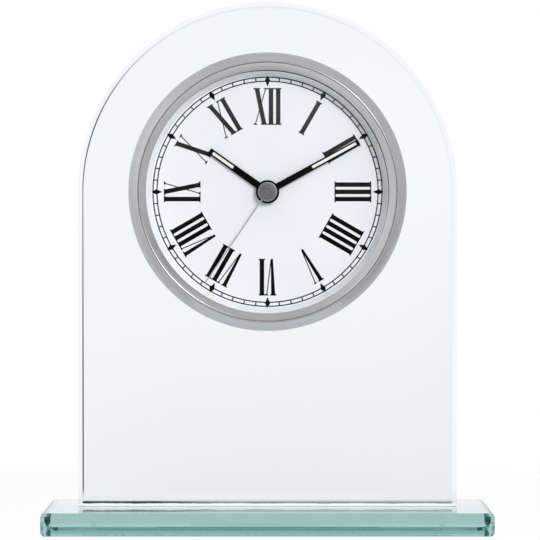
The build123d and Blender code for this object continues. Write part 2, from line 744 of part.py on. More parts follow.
# Friction spring between the cannon pinion and the centre wheel
with BuildPart() as clutch_spring:
    with BuildSketch(level(minute_wheel_back + SPRING_THICKNESS)):
        Circle(minute_tube + TUBE_WALL)
        with PolarLocations(minute_tube + 2 * TUBE_WALL, 3):
            Rectangle(2 * TUBE_WALL + HAND_GAP, TUBE_WALL)
        Circle(minute_tube, mode=Mode.SUBTRACT)
    extrude(amount=SPRING_THICKNESS)

# Centre wheel, which slips on the cannon pinion's tube when the time is set
with BuildPart() as centre_wheel:
    with BuildSketch(level(centre_wheel_back)):
        with BuildLine():
            Polyline(*wheel_points(CENTRE_TEETH, centre_module, TRAIN_ANGLE), close=True)
        make_face()
        Circle(minute_tube + RUNNING_CLEARANCE, mode=Mode.SUBTRACT)
    extrude(amount=WHEEL_THICKNESS)

# Third wheel, its pinion and its arbor
with BuildPart() as third_wheel:
    with BuildSketch(level(third_wheel_back, third_x, third_y)):
        with BuildLine():
            Polyline(*wheel_points(THIRD_TEETH, third_module, TRAIN_ANGLE + 180), close=True)
        make_face()
    extrude(amount=WHEEL_THICKNESS)
    third_leaf = TRAIN_ANGLE + 180 + half_leaf
    with BuildSketch(level(third_wheel_back, third_x, third_y)):
        with BuildLine():
            Polyline(*pinion_points(centre_module, third_leaf), close=True)
        make_face()
    extrude(amount=third_wheel_back - centre_wheel_back + WHEEL_THICKNESS)
    with BuildSketch(level(rear_back, third_x, third_y)):
        Circle(ARBOR_RADIUS)
    extrude(amount=rear_back - dial_back)

# Second wheel, its pinion and the long arbor that carries the second hand
with BuildPart() as second_wheel:
    with BuildSketch(level(second_wheel_back)):
        with BuildLine():
            Polyline(*wheel_points(SECOND_TEETH, second_module, SECOND_AXIS_ANGLE), close=True)
        make_face()
    extrude(amount=WHEEL_THICKNESS)
    with BuildSketch(level(second_wheel_back)):
        with BuildLine():
            Polyline(*pinion_points(third_module, TRAIN_ANGLE + half_leaf), close=True)
        make_face()
    extrude(amount=second_wheel_back - third_wheel_back + WHEEL_THICKNESS)
    with BuildSketch(level(rear_back)):
        Circle(ARBOR_RADIUS)
    extrude(amount=rear_back - second_front)

# Intermediate wheel, its pinion and its arbor
with BuildPart() as intermediate_wheel:
    with BuildSketch(level(intermediate_back, intermediate_x, intermediate_y)):
        with BuildLine():
            Polyline(*wheel_points(INTERMEDIATE_TEETH, rotor_module, ROTOR_AXIS_ANGLE), close=True)
        make_face()
    extrude(amount=WHEEL_THICKNESS)
    intermediate_leaf = SECOND_AXIS_ANGLE + 180 + half_leaf
    with BuildSketch(level(intermediate_back, intermediate_x, intermediate_y)):
        with BuildLine():
            Polyline(*pinion_points(second_module, intermediate_leaf), close=True)
        make_face()
    extrude(amount=intermediate_back - second_wheel_back + WHEEL_THICKNESS)
    with BuildSketch(level(rear_back, intermediate_x, intermediate_y)):
        Circle(ARBOR_RADIUS)
    extrude(amount=rear_back - middle_front)

# Rotor pinion and its arbor
with BuildPart() as rotor_pinion:
    with BuildSketch(level(intermediate_back, rotor_x, rotor_y)):
        with BuildLine():
            Polyline(*pinion_points(rotor_module, ROTOR_AXIS_ANGLE + 180 + half_leaf), close=True)
        make_face()
    extrude(amount=intermediate_back - second_wheel_back)
    with BuildSketch(level(rear_back, rotor_x, rotor_y)):
        Circle(ARBOR_RADIUS)
    extrude(amount=rear_back - middle_front)

# Rotor magnet
with BuildPart() as rotor_magnet:
    with BuildSketch(level(second_wheel_back, rotor_x, rotor_y)):
        Circle(ROTOR_RADIUS)
        Circle(ARBOR_RADIUS, mode=Mode.SUBTRACT)
    extrude(amount=second_wheel_back - middle_back - WHEEL_GAP)

# Stator: a ring around the rotor and two arms up to the coil
with BuildPart() as stator:
    arm_length = coil_y + CORE_SIZE / 2 - rotor_y + ARM_WIDTH / 2
    with BuildSketch(level(stator_back, rotor_x, rotor_y)):
        Circle(stator_hole + STATOR_RING)
        Rectangle(2 * ARM_SPAN, ARM_WIDTH)
        for side in (-1, 1):
            with Locations((side * ARM_SPAN, arm_length / 2 - ARM_WIDTH / 2)):
                Rectangle(ARM_WIDTH, arm_length)
        Circle(stator_hole, mode=Mode.SUBTRACT)
        with Locations((-ARM_SPAN, 0), (ARM_SPAN, 0)):
            Circle(BOARD_PEG_RADIUS + RUNNING_CLEARANCE, mode=Mode.SUBTRACT)
    extrude(amount=STATOR_THICKNESS)

# Coil core, which bridges the two arms
coil_plane = Plane(
    origin=(rotor_x, panel_y + coil_depth, dial_z + coil_y), x_dir=(0, 1, 0), z_dir=(1, 0, 0)
)
with BuildPart() as coil_core:
    with BuildSketch(coil_plane):
        Rectangle(CORE_SIZE, CORE_SIZE)
    extrude(amount=ARM_SPAN + ARM_WIDTH / 2, both=True)

# Coil bobbin with its two flanges
with BuildPart() as coil_bobbin:
    bobbin_size = CORE_SIZE + 2 * (FIT_CLEARANCE + BOBBIN_WALL)
    with BuildSketch(coil_plane):
        Rectangle(bobbin_size, bobbin_size)
    extrude(amount=bobbin_half, both=True)
    for end in (-bobbin_half, bobbin_half - BOBBIN_FLANGE):
        with BuildSketch(coil_plane.offset(end)):
            Circle(COIL_RADIUS)
        extrude(amount=BOBBIN_FLANGE)
    with BuildSketch(coil_plane):
        Rectangle(CORE_SIZE + 2 * FIT_CLEARANCE, CORE_SIZE + 2 * FIT_CLEARANCE)
    extrude(amount=bobbin_half, both=True, mode=Mode.SUBTRACT)

# Copper winding
with BuildPart() as coil_winding:
    with BuildSketch(coil_plane):
        Circle(COIL_RADIUS - BOBBIN_WALL / 2)
        Rectangle(bobbin_size, bobbin_size, mode=Mode.SUBTRACT)
    extrude(amount=bobbin_half - BOBBIN_FLANGE, both=True)

# Circuit board on the front plate's pegs
with BuildPart() as circuit_board:
    with BuildSketch(level(board_back, board_x, board_y)):
        Rectangle(BOARD_WIDTH, BOARD_HEIGHT)
    extrude(amount=BOARD_THICKNESS)
    with BuildSketch(level(board_back)):
        with Locations(*board_pegs):
            Circle(BOARD_PEG_RADIUS + RUNNING_CLEARANCE)
    extrude(amount=BOARD_THICKNESS, mode=Mode.SUBTRACT)

# Quartz crystal can, lying on the board
with BuildPart() as quartz_crystal:
    crystal_y = board_y + BOARD_HEIGHT / 4
    with BuildSketch(
        Plane(
            origin=(board_x, panel_y + board_back + CRYSTAL_RADIUS, dial_z + crystal_y),
            x_dir=(0, 1, 0),
            z_dir=(1, 0, 0),
        )
    ):
        Circle(CRYSTAL_RADIUS)
    extrude(amount=CRYSTAL_LENGTH / 2, both=True)

# Timing chip under its resin drop
with BuildPart() as timing_chip:
    with BuildSketch(level(board_back + CHIP_HEIGHT, board_x, board_y)):
        Circle(CHIP_RADIUS)
    extrude(amount=CHIP_HEIGHT)
    chamfer(timing_chip.faces().sort_by(Axis.Y)[-1].edges(), CHIP_HEIGHT / 2)

# Positive contact, from the cell's nub up to the board
with BuildPart() as contact_positive:
    contact_low = cell_y - CELL_DIAMETER / 4
    contact_high = board_low + CONTACT_TAIL
    with BuildSketch(level(contact_back)):
        with Locations((contact_inner + CONTACT_THICKNESS / 2, (contact_low + contact_high) / 2)):
            Rectangle(CONTACT_THICKNESS, contact_high - contact_low)
    extrude(amount=CONTACT_WIDTH)
    with BuildSketch(level(contact_back)):
        foot_y = (board_low + contact_high) / 2
        with Locations((contact_inner + CONTACT_THICKNESS / 2, foot_y)):
            Rectangle(CONTACT_THICKNESS, contact_high - board_low)
    extrude(amount=contact_back - board_back)

# Negative contact, from the cell's base along the bay wall to the board
with BuildPart() as contact_negative:
    with BuildSketch(level(contact_back)):
        tab_y = (contact_low + wall_top + CONTACT_THICKNESS) / 2
        with Locations((-contact_inner - CONTACT_THICKNESS / 2, tab_y)):
            Rectangle(CONTACT_THICKNESS, wall_top + CONTACT_THICKNESS - contact_low)
    extrude(amount=CONTACT_WIDTH)
    strip_left = -contact_inner - CONTACT_THICKNESS
    strip_right = board_left + 2 * CONTACT_TAIL
    with BuildSketch(level(contact_back)):
        with Locations((strip_left + CONTACT_TAIL / 2, wall_top + CONTACT_THICKNESS / 2)):
            Rectangle(CONTACT_TAIL, CONTACT_THICKNESS)
    extrude(amount=contact_back - board_back)
    with BuildSketch(level(board_back + CONTACT_TAIL)):
        with Locations(((strip_left + strip_right) / 2, wall_top + CONTACT_THICKNESS / 2)):
            Rectangle(strip_right - strip_left, CONTACT_THICKNESS)
    extrude(amount=CONTACT_TAIL)
    with BuildSketch(level(board_back + CONTACT_THICKNESS)):
        with Locations((strip_right - CONTACT_TAIL / 2, (wall_top + contact_high) / 2)):
            Rectangle(CONTACT_TAIL, contact_high - wall_top)
    extrude(amount=CONTACT_THICKNESS)

# Cell
with BuildPart() as battery_cell:
    with BuildSketch(
        Plane(
            origin=(-cell_end, panel_y + cell_depth, dial_z + cell_y),
            x_dir=(0, 1, 0),
            z_dir=(1, 0, 0),
        )
    ) as cell_base:
        Circle(CELL_DIAMETER / 2)
    extrude(amount=CELL_LENGTH)
    chamfer(battery_cell.edges().filter_by(GeomType.CIRCLE), BAY_CLEARANCE)
    with BuildSketch(
        Plane(
            origin=(-cell_end + CELL_LENGTH, panel_y + cell_depth, dial_z + cell_y),
            x_dir=(0, 1, 0),
            z_dir=(1, 0, 0),
        )
    ):
        Circle(NUB_RADIUS)
    extrude(amount=NUB_LENGTH)

# Setting arbor and its pinion
with BuildPart() as setting_arbor:
    with BuildSketch(level(minute_wheel_back, setting_x, setting_y)):
        with BuildLine():
            Polyline(*pinion_points(minute_module, MOTION_ANGLE + 180), close=True)
        make_face()
    extrude(amount=WHEEL_THICKNESS)
    with BuildSketch(level(knob_back - KNOB_THICKNESS / 2, setting_x, setting_y)):
        Circle(SETTING_ARBOR_RADIUS)
    extrude(amount=knob_back - KNOB_THICKNESS / 2 - dial_back)

# Ribbed setting knob behind the cup
with BuildPart() as setting_knob:
    knob_rim = []
    for rib in range(KNOB_RIBS):
        crown = 2 * pi * rib / KNOB_RIBS
        valley = crown + pi / KNOB_RIBS
        knob_rim.append((KNOB_RADIUS * cos(crown), KNOB_RADIUS * sin(crown)))
        inner = KNOB_RADIUS - KNOB_RIB_DEPTH
        knob_rim.append((inner * cos(valley), inner * sin(valley)))
    with BuildSketch(level(knob_back, setting_x, setting_y)):
        with BuildLine():
            Polyline(*knob_rim, close=True)
        make_face()
    extrude(amount=KNOB_THICKNESS)
    with BuildSketch(level(knob_back - KNOB_THICKNESS / 2, setting_x, setting_y)):
        Circle(SETTING_ARBOR_RADIUS)
    extrude(amount=KNOB_THICKNESS / 2, mode=Mode.SUBTRACT)

pieces = {
    "glass_base": glass_base,
    "base_pads": base_pads,
    "glass_panel": glass_panel,
    "bond_film": bond_film,
    "bezel": bezel,
    "lens": lens,
    "housing_cup": housing_cup,
    "retaining_sleeve": retaining_sleeve,
    "spacer_ring": spacer_ring,
    "dial_plate": dial_plate,
    "hour_hand": hour_hand,
    "hour_hand_lume": hour_hand_lume,
    "minute_hand": minute_hand,
    "minute_hand_lume": minute_hand_lume,
    "second_hand": second_hand,
    "second_hand_cap": second_hand_cap,
    "movement_front_plate": movement_front_plate,
    "movement_middle_plate": movement_middle_plate,
    "movement_rear_plate": movement_rear_plate,
    "plate_screws": plate_screws,
    "case_screws": case_screws,
    "hour_wheel": hour_wheel,
    "cannon_pinion": cannon_pinion,
    "minute_wheel": minute_wheel,
    "clutch_spring": clutch_spring,
    "centre_wheel": centre_wheel,
    "third_wheel": third_wheel,
    "second_wheel": second_wheel,
    "intermediate_wheel": intermediate_wheel,
    "rotor_pinion": rotor_pinion,
    "rotor_magnet": rotor_magnet,
    "stator": stator,
    "coil_core": coil_core,
    "coil_bobbin": coil_bobbin,
    "coil_winding": coil_winding,
    "circuit_board": circuit_board,
    "quartz_crystal": quartz_crystal,
    "timing_chip": timing_chip,
    "contact_positive": contact_positive,
    "contact_negative": contact_negative,
    "battery_cell": battery_cell,
    "setting_arbor": setting_arbor,
    "setting_knob": setting_knob,
}

os.makedirs("parts", exist_ok=True)
for name, piece in pieces.items():
    piece.part.label = name
    export_step(piece.part, f"parts/{name}.step")
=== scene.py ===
import math

import bmesh
import bpy
from mathutils import Matrix, Vector


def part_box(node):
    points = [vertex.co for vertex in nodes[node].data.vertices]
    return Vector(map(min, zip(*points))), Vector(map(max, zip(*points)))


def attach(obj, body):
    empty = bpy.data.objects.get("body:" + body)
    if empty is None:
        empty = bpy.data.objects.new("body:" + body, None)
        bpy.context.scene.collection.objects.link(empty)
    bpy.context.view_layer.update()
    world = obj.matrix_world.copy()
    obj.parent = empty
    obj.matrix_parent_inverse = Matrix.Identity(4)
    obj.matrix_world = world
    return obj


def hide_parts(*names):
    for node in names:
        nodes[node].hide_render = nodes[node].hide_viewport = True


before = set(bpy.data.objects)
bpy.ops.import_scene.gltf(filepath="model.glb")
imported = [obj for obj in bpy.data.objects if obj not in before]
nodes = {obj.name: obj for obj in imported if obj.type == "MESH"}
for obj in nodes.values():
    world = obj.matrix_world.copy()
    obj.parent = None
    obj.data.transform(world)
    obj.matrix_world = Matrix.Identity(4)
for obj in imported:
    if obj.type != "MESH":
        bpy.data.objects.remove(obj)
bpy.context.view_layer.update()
finishes = {}
mm = 0.001
print("frame loaded with", len(nodes), "nodes")

# the dial's centre, on its front face
dialLow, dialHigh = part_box("dial_plate")
dialCentre = Vector(((dialLow.x + dialHigh.x) / 2, dialLow.y, (dialLow.z + dialHigh.z) / 2))


# turns flat work (u right, v up, w to the viewer) to face the front at a depth along Y
def facing(depth, x=dialCentre.x, z=dialCentre.z):
    return Matrix(((1, 0, 0, x), (0, 0, -1, depth), (0, 1, 0, z), (0, 0, 0, 1)))


# and the same for work that faces the back, u to the viewer's right from behind
def facingBack(depth):
    return Matrix(((-1, 0, 0, dialCentre.x), (0, 0, 1, depth), (0, 1, 0, dialCentre.z), (0, 0, 0, 1)))


def meshFrom(shape, place=None, sharp=30):
    bmesh.ops.recalc_face_normals(shape, faces=shape.faces[:])
    mesh = bpy.data.meshes.new("shape")
    shape.to_mesh(mesh)
    shape.free()
    if place is not None:
        mesh.transform(place)
    mesh.shade_smooth()
    mesh.set_sharp_from_angle(angle=math.radians(sharp))
    return mesh


def newObject(name, data):
    made = bpy.data.objects.new(name, data)
    bpy.context.collection.objects.link(made)
    return made


def putFinish(mesh, finish):
    mesh.materials.clear()
    mesh.materials.append(finishes[finish])


def addPiece(name, mesh, body, finish, stands=()):
    mesh.name = name
    putFinish(mesh, finish)
    piece = newObject(name, mesh)
    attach(piece, body)
    if stands:
        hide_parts(*stands)


# corners are (x, y, round); each is turned into a short arc, in millimetres
def softened(corners, steps=6):
    points = []
    for i, (x, y, rounding) in enumerate(corners):
        here = Vector((x, y))
        if rounding == 0:
            points.append(here)
            continue
        before = Vector(corners[i - 1][:2]) - here
        after = Vector(corners[(i + 1) % len(corners)][:2]) - here
        half = before.angle(after) / 2
        most = min(before.length, after.length) * 0.49  # an arc takes less than half of a side
        reach = min(rounding / math.tan(half), most)
        middle = here + (before.normalized() + after.normalized()).normalized() * (reach / math.cos(half))
        start = here + before.normalized() * reach - middle
        end = here + after.normalized() * reach - middle
        sweep = start.angle(end)
        for s in range(steps + 1):
            t = s / steps
            arc = start * math.sin((1 - t) * sweep) + end * math.sin(t * sweep)
            points.append(middle + arc / math.sin(sweep))
    return points


def arcPoints(radius, turns):
    return [(radius * math.cos(turn), radius * math.sin(turn)) for turn in turns]


def circlePoints(radius, steps):
    return arcPoints(radius, [math.tau * i / steps for i in range(steps)])


# a rectangle, such as the section of a flat ring
def bandOutline(inner, outer, low, high):
    return [(inner, low), (outer, low), (outer, high), (inner, high)]


# turns a (radius, height) outline about w; an outline that starts on the axis also ends there
def turned(outline, steps=256, shape=None):
    shape = bmesh.new() if shape is None else shape
    rings = []
    for radius, height in outline:
        spots = circlePoints(radius, steps) if radius > 1e-6 else [(0, 0)]
        rings.append([shape.verts.new((u * mm, v * mm, height * mm)) for u, v in spots])
    following = rings[1:] if len(rings[0]) == 1 else rings[1:] + rings[:1]
    for one, two in zip(rings, following):
        for i in range(steps):
            j = (i + 1) % steps
            corners = [one[i % len(one)], one[j % len(one)], two[j % len(two)], two[i % len(two)]]
            corners = list(dict.fromkeys(corners))
            if len(corners) > 2:
                shape.faces.new(corners)
    return shape


# faces between rows of points, each row closed on itself
def skinned(shape, rows):
    for one, two in zip(rows, rows[1:]):
        for i in range(len(one)):
            j = (i + 1) % len(one)
            shape.faces.new((one[i], one[j], two[j], two[i]))


def addPrism(shape, outline, low, high):
    lower, upper = [[shape.verts.new((u * mm, v * mm, w * mm)) for u, v in outline] for w in (low, high)]
    shape.faces.new(lower[::-1])
    shape.faces.new(upper)
    skinned(shape, [lower, upper])


# the piece's modifier is carried out, and its result is a plain mesh
def carriedOut(mesh, tree, inputs):
    carrier = newObject(mesh.name, mesh)
    modifier = carrier.modifiers.new("nodes", "NODES")
    modifier.node_group = tree
    for item in tree.interface.items_tree:
        if item.in_out == "INPUT" and item.name in inputs:
            modifier[item.identifier] = inputs[item.name]
    graph = bpy.context.evaluated_depsgraph_get()
    made = bpy.data.meshes.new_from_object(carrier.evaluated_get(graph))
    carrier.modifiers.remove(modifier)
    bpy.data.objects.remove(carrier)
    return made


def newTree(name, **inputs):
    tree = bpy.data.node_groups.new(name, "GeometryNodeTree")
    for label, kind in {"Geometry": "NodeSocketGeometry", **inputs}.items():
        tree.interface.new_socket(label, in_out="INPUT", socket_type=kind)
    tree.interface.new_socket("Geometry", in_out="OUTPUT", socket_type="NodeSocketGeometry")
    return tree, tree.nodes.new("NodeGroupInput"), tree.nodes.new("NodeGroupOutput")


# every tree ends in real copies and their material
def endTree(tree, given, result, source):
    real = tree.nodes.new("GeometryNodeRealizeInstances")
    paint = tree.nodes.new("GeometryNodeSetMaterial")
    tree.links.new(source, real.inputs[0])
    tree.links.new(real.outputs[0], paint.inputs["Geometry"])
    tree.links.new(given.outputs["Material"], paint.inputs["Material"])
    tree.links.new(paint.outputs[0], result.inputs[0])
    return tree


# copies the incoming shape round the axis
def polarTree():
    tree, given, result = newTree("roundTheDial", Count="NodeSocketInt", Material="NodeSocketMaterial")
    add, join = tree.nodes.new, tree.links.new
    points = add("GeometryNodePoints")
    index = add("GeometryNodeInputIndex")
    share = add("ShaderNodeMath")
    share.operation = "DIVIDE"
    turn = add("ShaderNodeMath")
    turn.operation = "MULTIPLY"
    turn.inputs[1].default_value = -math.tau
    spin = add("ShaderNodeCombineXYZ")
    copies = add("GeometryNodeInstanceOnPoints")
    join(given.outputs["Count"], points.inputs["Count"])
    join(index.outputs[0], share.inputs[0])
    join(given.outputs["Count"], share.inputs[1])
    join(share.outputs[0], turn.inputs[0])
    join(turn.outputs[0], spin.inputs["Z"])
    join(points.outputs[0], copies.inputs["Points"])
    join(given.outputs["Geometry"], copies.inputs["Instance"])
    join(spin.outputs[0], copies.inputs["Rotation"])
    return endTree(tree, given, result, copies.outputs[0])


# melts overlapping strokes into one outline
def strokeTree():
    tree, given, result = newTree("mergeStrokes", Material="NodeSocketMaterial")
    merge = tree.nodes.new("GeometryNodeMeshBoolean")
    merge.operation = "UNION"
    merge.solver = "EXACT"
    merge.inputs["Self Intersection"].default_value = True
    tree.links.new(given.outputs["Geometry"], merge.inputs["Mesh 2"])
    return endTree(tree, given, result, merge.outputs[0])


# Materials

# the nodes of one material or of the room
class ShaderTree:
    def __init__(self, owner, ending):
        owner.use_nodes = True
        self.tree = owner.node_tree
        self.tree.nodes.clear()
        self.out = self.add(ending)

    # numbers go on the sockets of these names, with _ for a space
    def add(self, kind, **numbers):
        node = self.tree.nodes.new(kind)
        for label, number in numbers.items():
            node.inputs[label.replace("_", " ")].default_value = number
        return node

    def join(self, source, target):
        self.tree.links.new(source, target)

    # a number stands on the socket itself, and another socket is joined to it
    def feed(self, socket, value):
        if isinstance(value, (int, float)):
            socket.default_value = value
        else:
            self.join(value, socket)

    def math(self, operation, *values):
        node = self.add("ShaderNodeMath")
        node.operation = operation
        for socket, value in zip(node.inputs, values):
            self.feed(socket, value)
        return node.outputs[0]

    # a vector's length, or its share along another
    def measure(self, operation, source, along=(0, 0, 0)):
        node = self.add("ShaderNodeVectorMath")
        node.operation = operation
        node.inputs[1].default_value = along
        self.join(source, node.inputs[0])
        return node.outputs["Value"]

    def axis(self, source, letter):
        node = self.add("ShaderNodeSeparateXYZ")
        self.join(source, node.inputs[0])
        return node.outputs[letter]

    def spread(self, value, low, high, fromLow=0.3, fromHigh=0.7, soft=False):
        node = self.add("ShaderNodeMapRange", From_Min=fromLow, From_Max=fromHigh, To_Min=low, To_Max=high)
        node.interpolation_type = "SMOOTHSTEP" if soft else "LINEAR"
        self.join(value, node.inputs["Value"])
        return node.outputs["Result"]

    # the first shader where the flag is 0, the second where it is 1
    def picked(self, flag, first, second):
        mix = self.add("ShaderNodeMixShader")
        for socket, source in zip(mix.inputs, (flag, first, second)):
            self.join(source, socket)
        return mix.outputs[0]

    def glow(self, kind, strength, colour=(1, 1, 1)):
        node = self.add(kind, Color=(*colour, 1))
        self.feed(node.inputs["Strength"], strength)
        return node.outputs[0]


class Finish(ShaderTree):
    def __init__(self, name, **numbers):
        finishes[name] = bpy.data.materials.new(name)
        super().__init__(finishes[name], "ShaderNodeOutputMaterial")
        self.shader = self.add("ShaderNodeBsdfPrincipled", **numbers)
        self.join(self.shader.outputs[0], self.out.inputs["Surface"])
        self.place = self.add("ShaderNodeTexCoord").outputs["Object"]

    def moved(self, centre, scale=(1, 1, 1)):
        node = self.add("ShaderNodeMapping", Scale=scale, Location=[-c * s for c, s in zip(centre, scale)])
        node.vector_type = "POINT"
        self.join(self.place, node.inputs["Vector"])
        return node.outputs[0]

    def noise(self, scale, detail=3.0, source=None):
        node = self.add("ShaderNodeTexNoise", Scale=scale, Detail=detail, Roughness=0.55)
        self.join(source or self.place, node.inputs["Vector"])
        return node.outputs["Fac"]

    # fine rings about the dial's axis, as a lathe leaves them
    def rings(self, scale, detail):
        node = self.add("ShaderNodeTexNoise", Scale=scale, Detail=detail)
        node.noise_dimensions = "1D"
        self.join(self.measure("LENGTH", self.moved(dialCentre, (1, 0, 1))), node.inputs["W"])
        return node.outputs["Fac"]

    def blend(self, value, first, second):
        node = self.add("ShaderNodeValToRGB")
        for stop, position, colour in zip(node.color_ramp.elements, (0.3, 0.7), (first, second)):
            stop.position = position
            stop.color = (*colour, 1)
        self.join(value, node.inputs["Fac"])
        return node.outputs["Color"]

    def colour(self, value, first, second):
        self.join(self.blend(value, first, second), self.shader.inputs["Base Color"])

    def rough(self, value, low, high):
        self.join(self.spread(value, low, high), self.shader.inputs["Roughness"])

    # rise is in millimetres
    def bump(self, height, strength, rise=0.02):
        node = self.add("ShaderNodeBump", Strength=strength, Distance=rise * mm)
        self.join(height, node.inputs["Height"])
        self.join(node.outputs[0], self.shader.inputs["Normal"])


# plain finishes: two close colours, range of roughness, scale of patches and of grain, lift and rise of the grain
plainFinishes = {
    "dialWhite": ((0.85, 0.875, 0.92), (0.875, 0.9, 0.94), (0.42, 0.5), 60, 2600, 0.05),
    "dialInk": ((0.003, 0.003, 0.0033), (0.006, 0.006, 0.0063), (0.4, 0.55), 400, 3000, 0.1),
    "handBlack": ((0.002, 0.002, 0.0022), (0.004, 0.004, 0.0042), (0.3, 0.42), 300, 3000, 0.08),
    "handCream": ((0.8, 0.8, 0.77), (0.86, 0.86, 0.83), (0.5, 0.65), 500, 4000, 0.3),
    "whiteMoulding": ((0.9, 0.915, 0.945), (0.93, 0.945, 0.97), (0.4, 0.5), 120, 1800),
    "cupBlack": ((0.012, 0.012, 0.013), (0.02, 0.02, 0.021), (0.42, 0.58), 150, 5200, 0.35, 0.04),
    "knobBlack": ((0.016, 0.016, 0.017), (0.026, 0.026, 0.027), (0.35, 0.5), 200, 4200, 0.25, 0.03),
    "markGrey": ((0.3, 0.3, 0.295), (0.4, 0.4, 0.39), (0.5, 0.65), 900, 4200, 0.3),
    "rubberBlack": ((0.018, 0.018, 0.018), (0.032, 0.031, 0.03), (0.65, 0.8), 140, 2400, 0.4, 0.05),
    "brightSteel": ((0.5, 0.51, 0.53), (0.64, 0.65, 0.67), (0.18, 0.32), 700, 2600, 0.08),
    "handSteel": ((0.42, 0.42, 0.43), (0.55, 0.55, 0.56), (0.3, 0.42), 600, 2600, 0.05),
    "naturalMoulding": ((0.66, 0.64, 0.58), (0.74, 0.72, 0.66), (0.38, 0.5), 120, 1900),
    "gearMoulding": ((0.74, 0.73, 0.68), (0.82, 0.81, 0.77), (0.3, 0.42), 200, 2200),
    "brassPart": ((0.62, 0.44, 0.17), (0.74, 0.55, 0.25), (0.2, 0.34), 500, 2400, 0.08),
    "magnetDark": ((0.07, 0.07, 0.075), (0.13, 0.13, 0.135), (0.3, 0.45), 500, 2600),
    "boardGreen": ((0.015, 0.1, 0.045), (0.025, 0.15, 0.065), (0.3, 0.42), 260, 2000),
    "chipBlack": ((0.01, 0.01, 0.011), (0.022, 0.022, 0.023), (0.2, 0.4), 500, 2200, 0.3),
}
plainExtras = {
    "dialInk": {"Specular_IOR_Level": 0.05}, "handBlack": {"Specular_IOR_Level": 0.05},
    "brightSteel": {"Metallic": 1.0}, "handSteel": {"Metallic": 0.35}, "brassPart": {"Metallic": 1.0},
    "magnetDark": {"Metallic": 0.8}, "naturalMoulding": {"Subsurface_Weight": 0.05}, "boardGreen": {"Coat_Weight": 0.3},
}


def plainFinish(name, first, second, roughness, patch, grain, lift=0.2, rise=0.02):
    finish = Finish(name, **plainExtras.get(name, {}))
    finish.colour(finish.noise(patch), first, second)
    finish.rough(finish.noise(patch * 2.3, 4), *roughness)  # on a finer scale than the colour
    finish.bump(finish.noise(grain, 2), lift, rise)


# body colour of each clear piece and how dense it is, index, and wave of the surface
glassSizes = {
    "baseGlass": {"tint": (0.3, 0.63, 0.613), "density": 30.0, "index": 1.56, "wave": 0.0005},
    "panelGlass": {"tint": (0.2, 0.6, 0.55), "density": 10.0, "index": 1.5, "wave": 0.02},
    "lensGlass": {"tint": (1, 1, 1), "density": 0, "index": 1.5, "wave": 0.01, "gloss": True},
    "clearBond": {"tint": (0.6, 0.7, 0.7), "density": 60, "index": 1.56, "wave": 0.02},
}


# lamps and bounced light go straight through, and so do reflections where gloss is set
def glassFinish(name, tint, density, index, wave, gloss=False):
    finish = Finish(name, Base_Color=(1, 1, 1, 1), Transmission_Weight=1.0, IOR=index, Roughness=0.0)
    finish.bump(finish.noise(45, 1), wave)
    clear = finish.add("ShaderNodeBsdfTransparent").outputs[0]
    path = finish.add("ShaderNodeLightPath").outputs
    result = finish.shader.outputs[0]
    for ray in ["Is Shadow Ray", "Is Diffuse Ray"] + ["Is Glossy Ray"] * gloss:
        result = finish.picked(path[ray], result, clear)
    finish.join(result, finish.out.inputs["Surface"])
    if density:
        body = finish.add("ShaderNodeVolumeAbsorption", Color=(*tint, 1), Density=density)
        finish.join(body.outputs[0], finish.out.inputs["Volume"])


silverSizes = {
    "dark": (0.668, 0.656, 0.69), "pale": (0.778, 0.764, 0.802), "rough": (0.2, 0.25), "cloud": 90, "rings": 9000,
    "scratch": 160, "stretch": 14, "scratchRough": 0.1, "speck": 1500, "speckShade": -0.4, "lift": 0.03,
}


# satin silver: turned lines round the dial, faint scratches and specks
def satinSilver():
    sizes = silverSizes
    finish = Finish("satinSilver", Metallic=1.0)
    cloud = finish.noise(sizes["cloud"], 4)
    scratch = finish.noise(sizes["scratch"], 2, finish.moved(dialCentre, (1, 1, sizes["stretch"])))
    fine = finish.spread(scratch, 0, 1, 0.66, 0.72)
    specks = finish.spread(finish.noise(sizes["speck"], 1), 0, 1, 0.7, 0.76)
    dots = finish.math("MULTIPLY", specks, sizes["speckShade"])
    finish.colour(finish.math("ADD", finish.spread(cloud, 0.42, 0.58), dots), sizes["dark"], sizes["pale"])
    dull = finish.math("MULTIPLY", fine, sizes["scratchRough"])
    rough = finish.math("ADD", finish.spread(cloud, *sizes["rough"]), dull)
    finish.join(rough, finish.shader.inputs["Roughness"])
    finish.bump(finish.math("ADD", finish.rings(sizes["rings"], 2), fine), sizes["lift"])


# grey metal of the small cap on the second hand, turned in fine rings and broken by specks
capFinish = {"dark": (0.17, 0.17, 0.175), "pale": (0.56, 0.56, 0.57), "rings": 2600, "ringShare": 0.45,
             "speck": 2400, "speckShare": 0.55, "rough": (0.28, 0.45)}


def capMetal():
    sizes = capFinish
    finish = Finish("capMetal", Metallic=1.0)
    rings = finish.math("MULTIPLY", finish.rings(sizes["rings"], 1), sizes["ringShare"])
    specks = finish.math("MULTIPLY", finish.noise(sizes["speck"], 2), sizes["speckShare"])
    mottle = finish.math("ADD", rings, specks)
    finish.colour(mottle, sizes["dark"], sizes["pale"])
    finish.rough(mottle, *sizes["rough"])
    finish.bump(mottle, 0.3, 0.04)


# ink of the numerals, paler towards the top of the dial
inkSizes = {"dark": (0.003, 0.003, 0.0036), "pale": (0.044, 0.043, 0.049), "from": -6, "to": 30, "uneven": 0.04}


def numeralInk():
    sizes = inkSizes
    finish = Finish("numeralInk", Specular_IOR_Level=0.05)
    up = finish.axis(finish.moved(dialCentre), "Z")
    height = finish.spread(up, 0.3, 0.7, sizes["from"] * mm, sizes["to"] * mm)
    uneven = finish.spread(finish.noise(500, 3), -sizes["uneven"], sizes["uneven"])
    finish.colour(finish.math("ADD", height, uneven), sizes["dark"], sizes["pale"])
    finish.rough(finish.noise(700), 0.4, 0.55)
    finish.bump(finish.noise(3000, 2), 0.1)
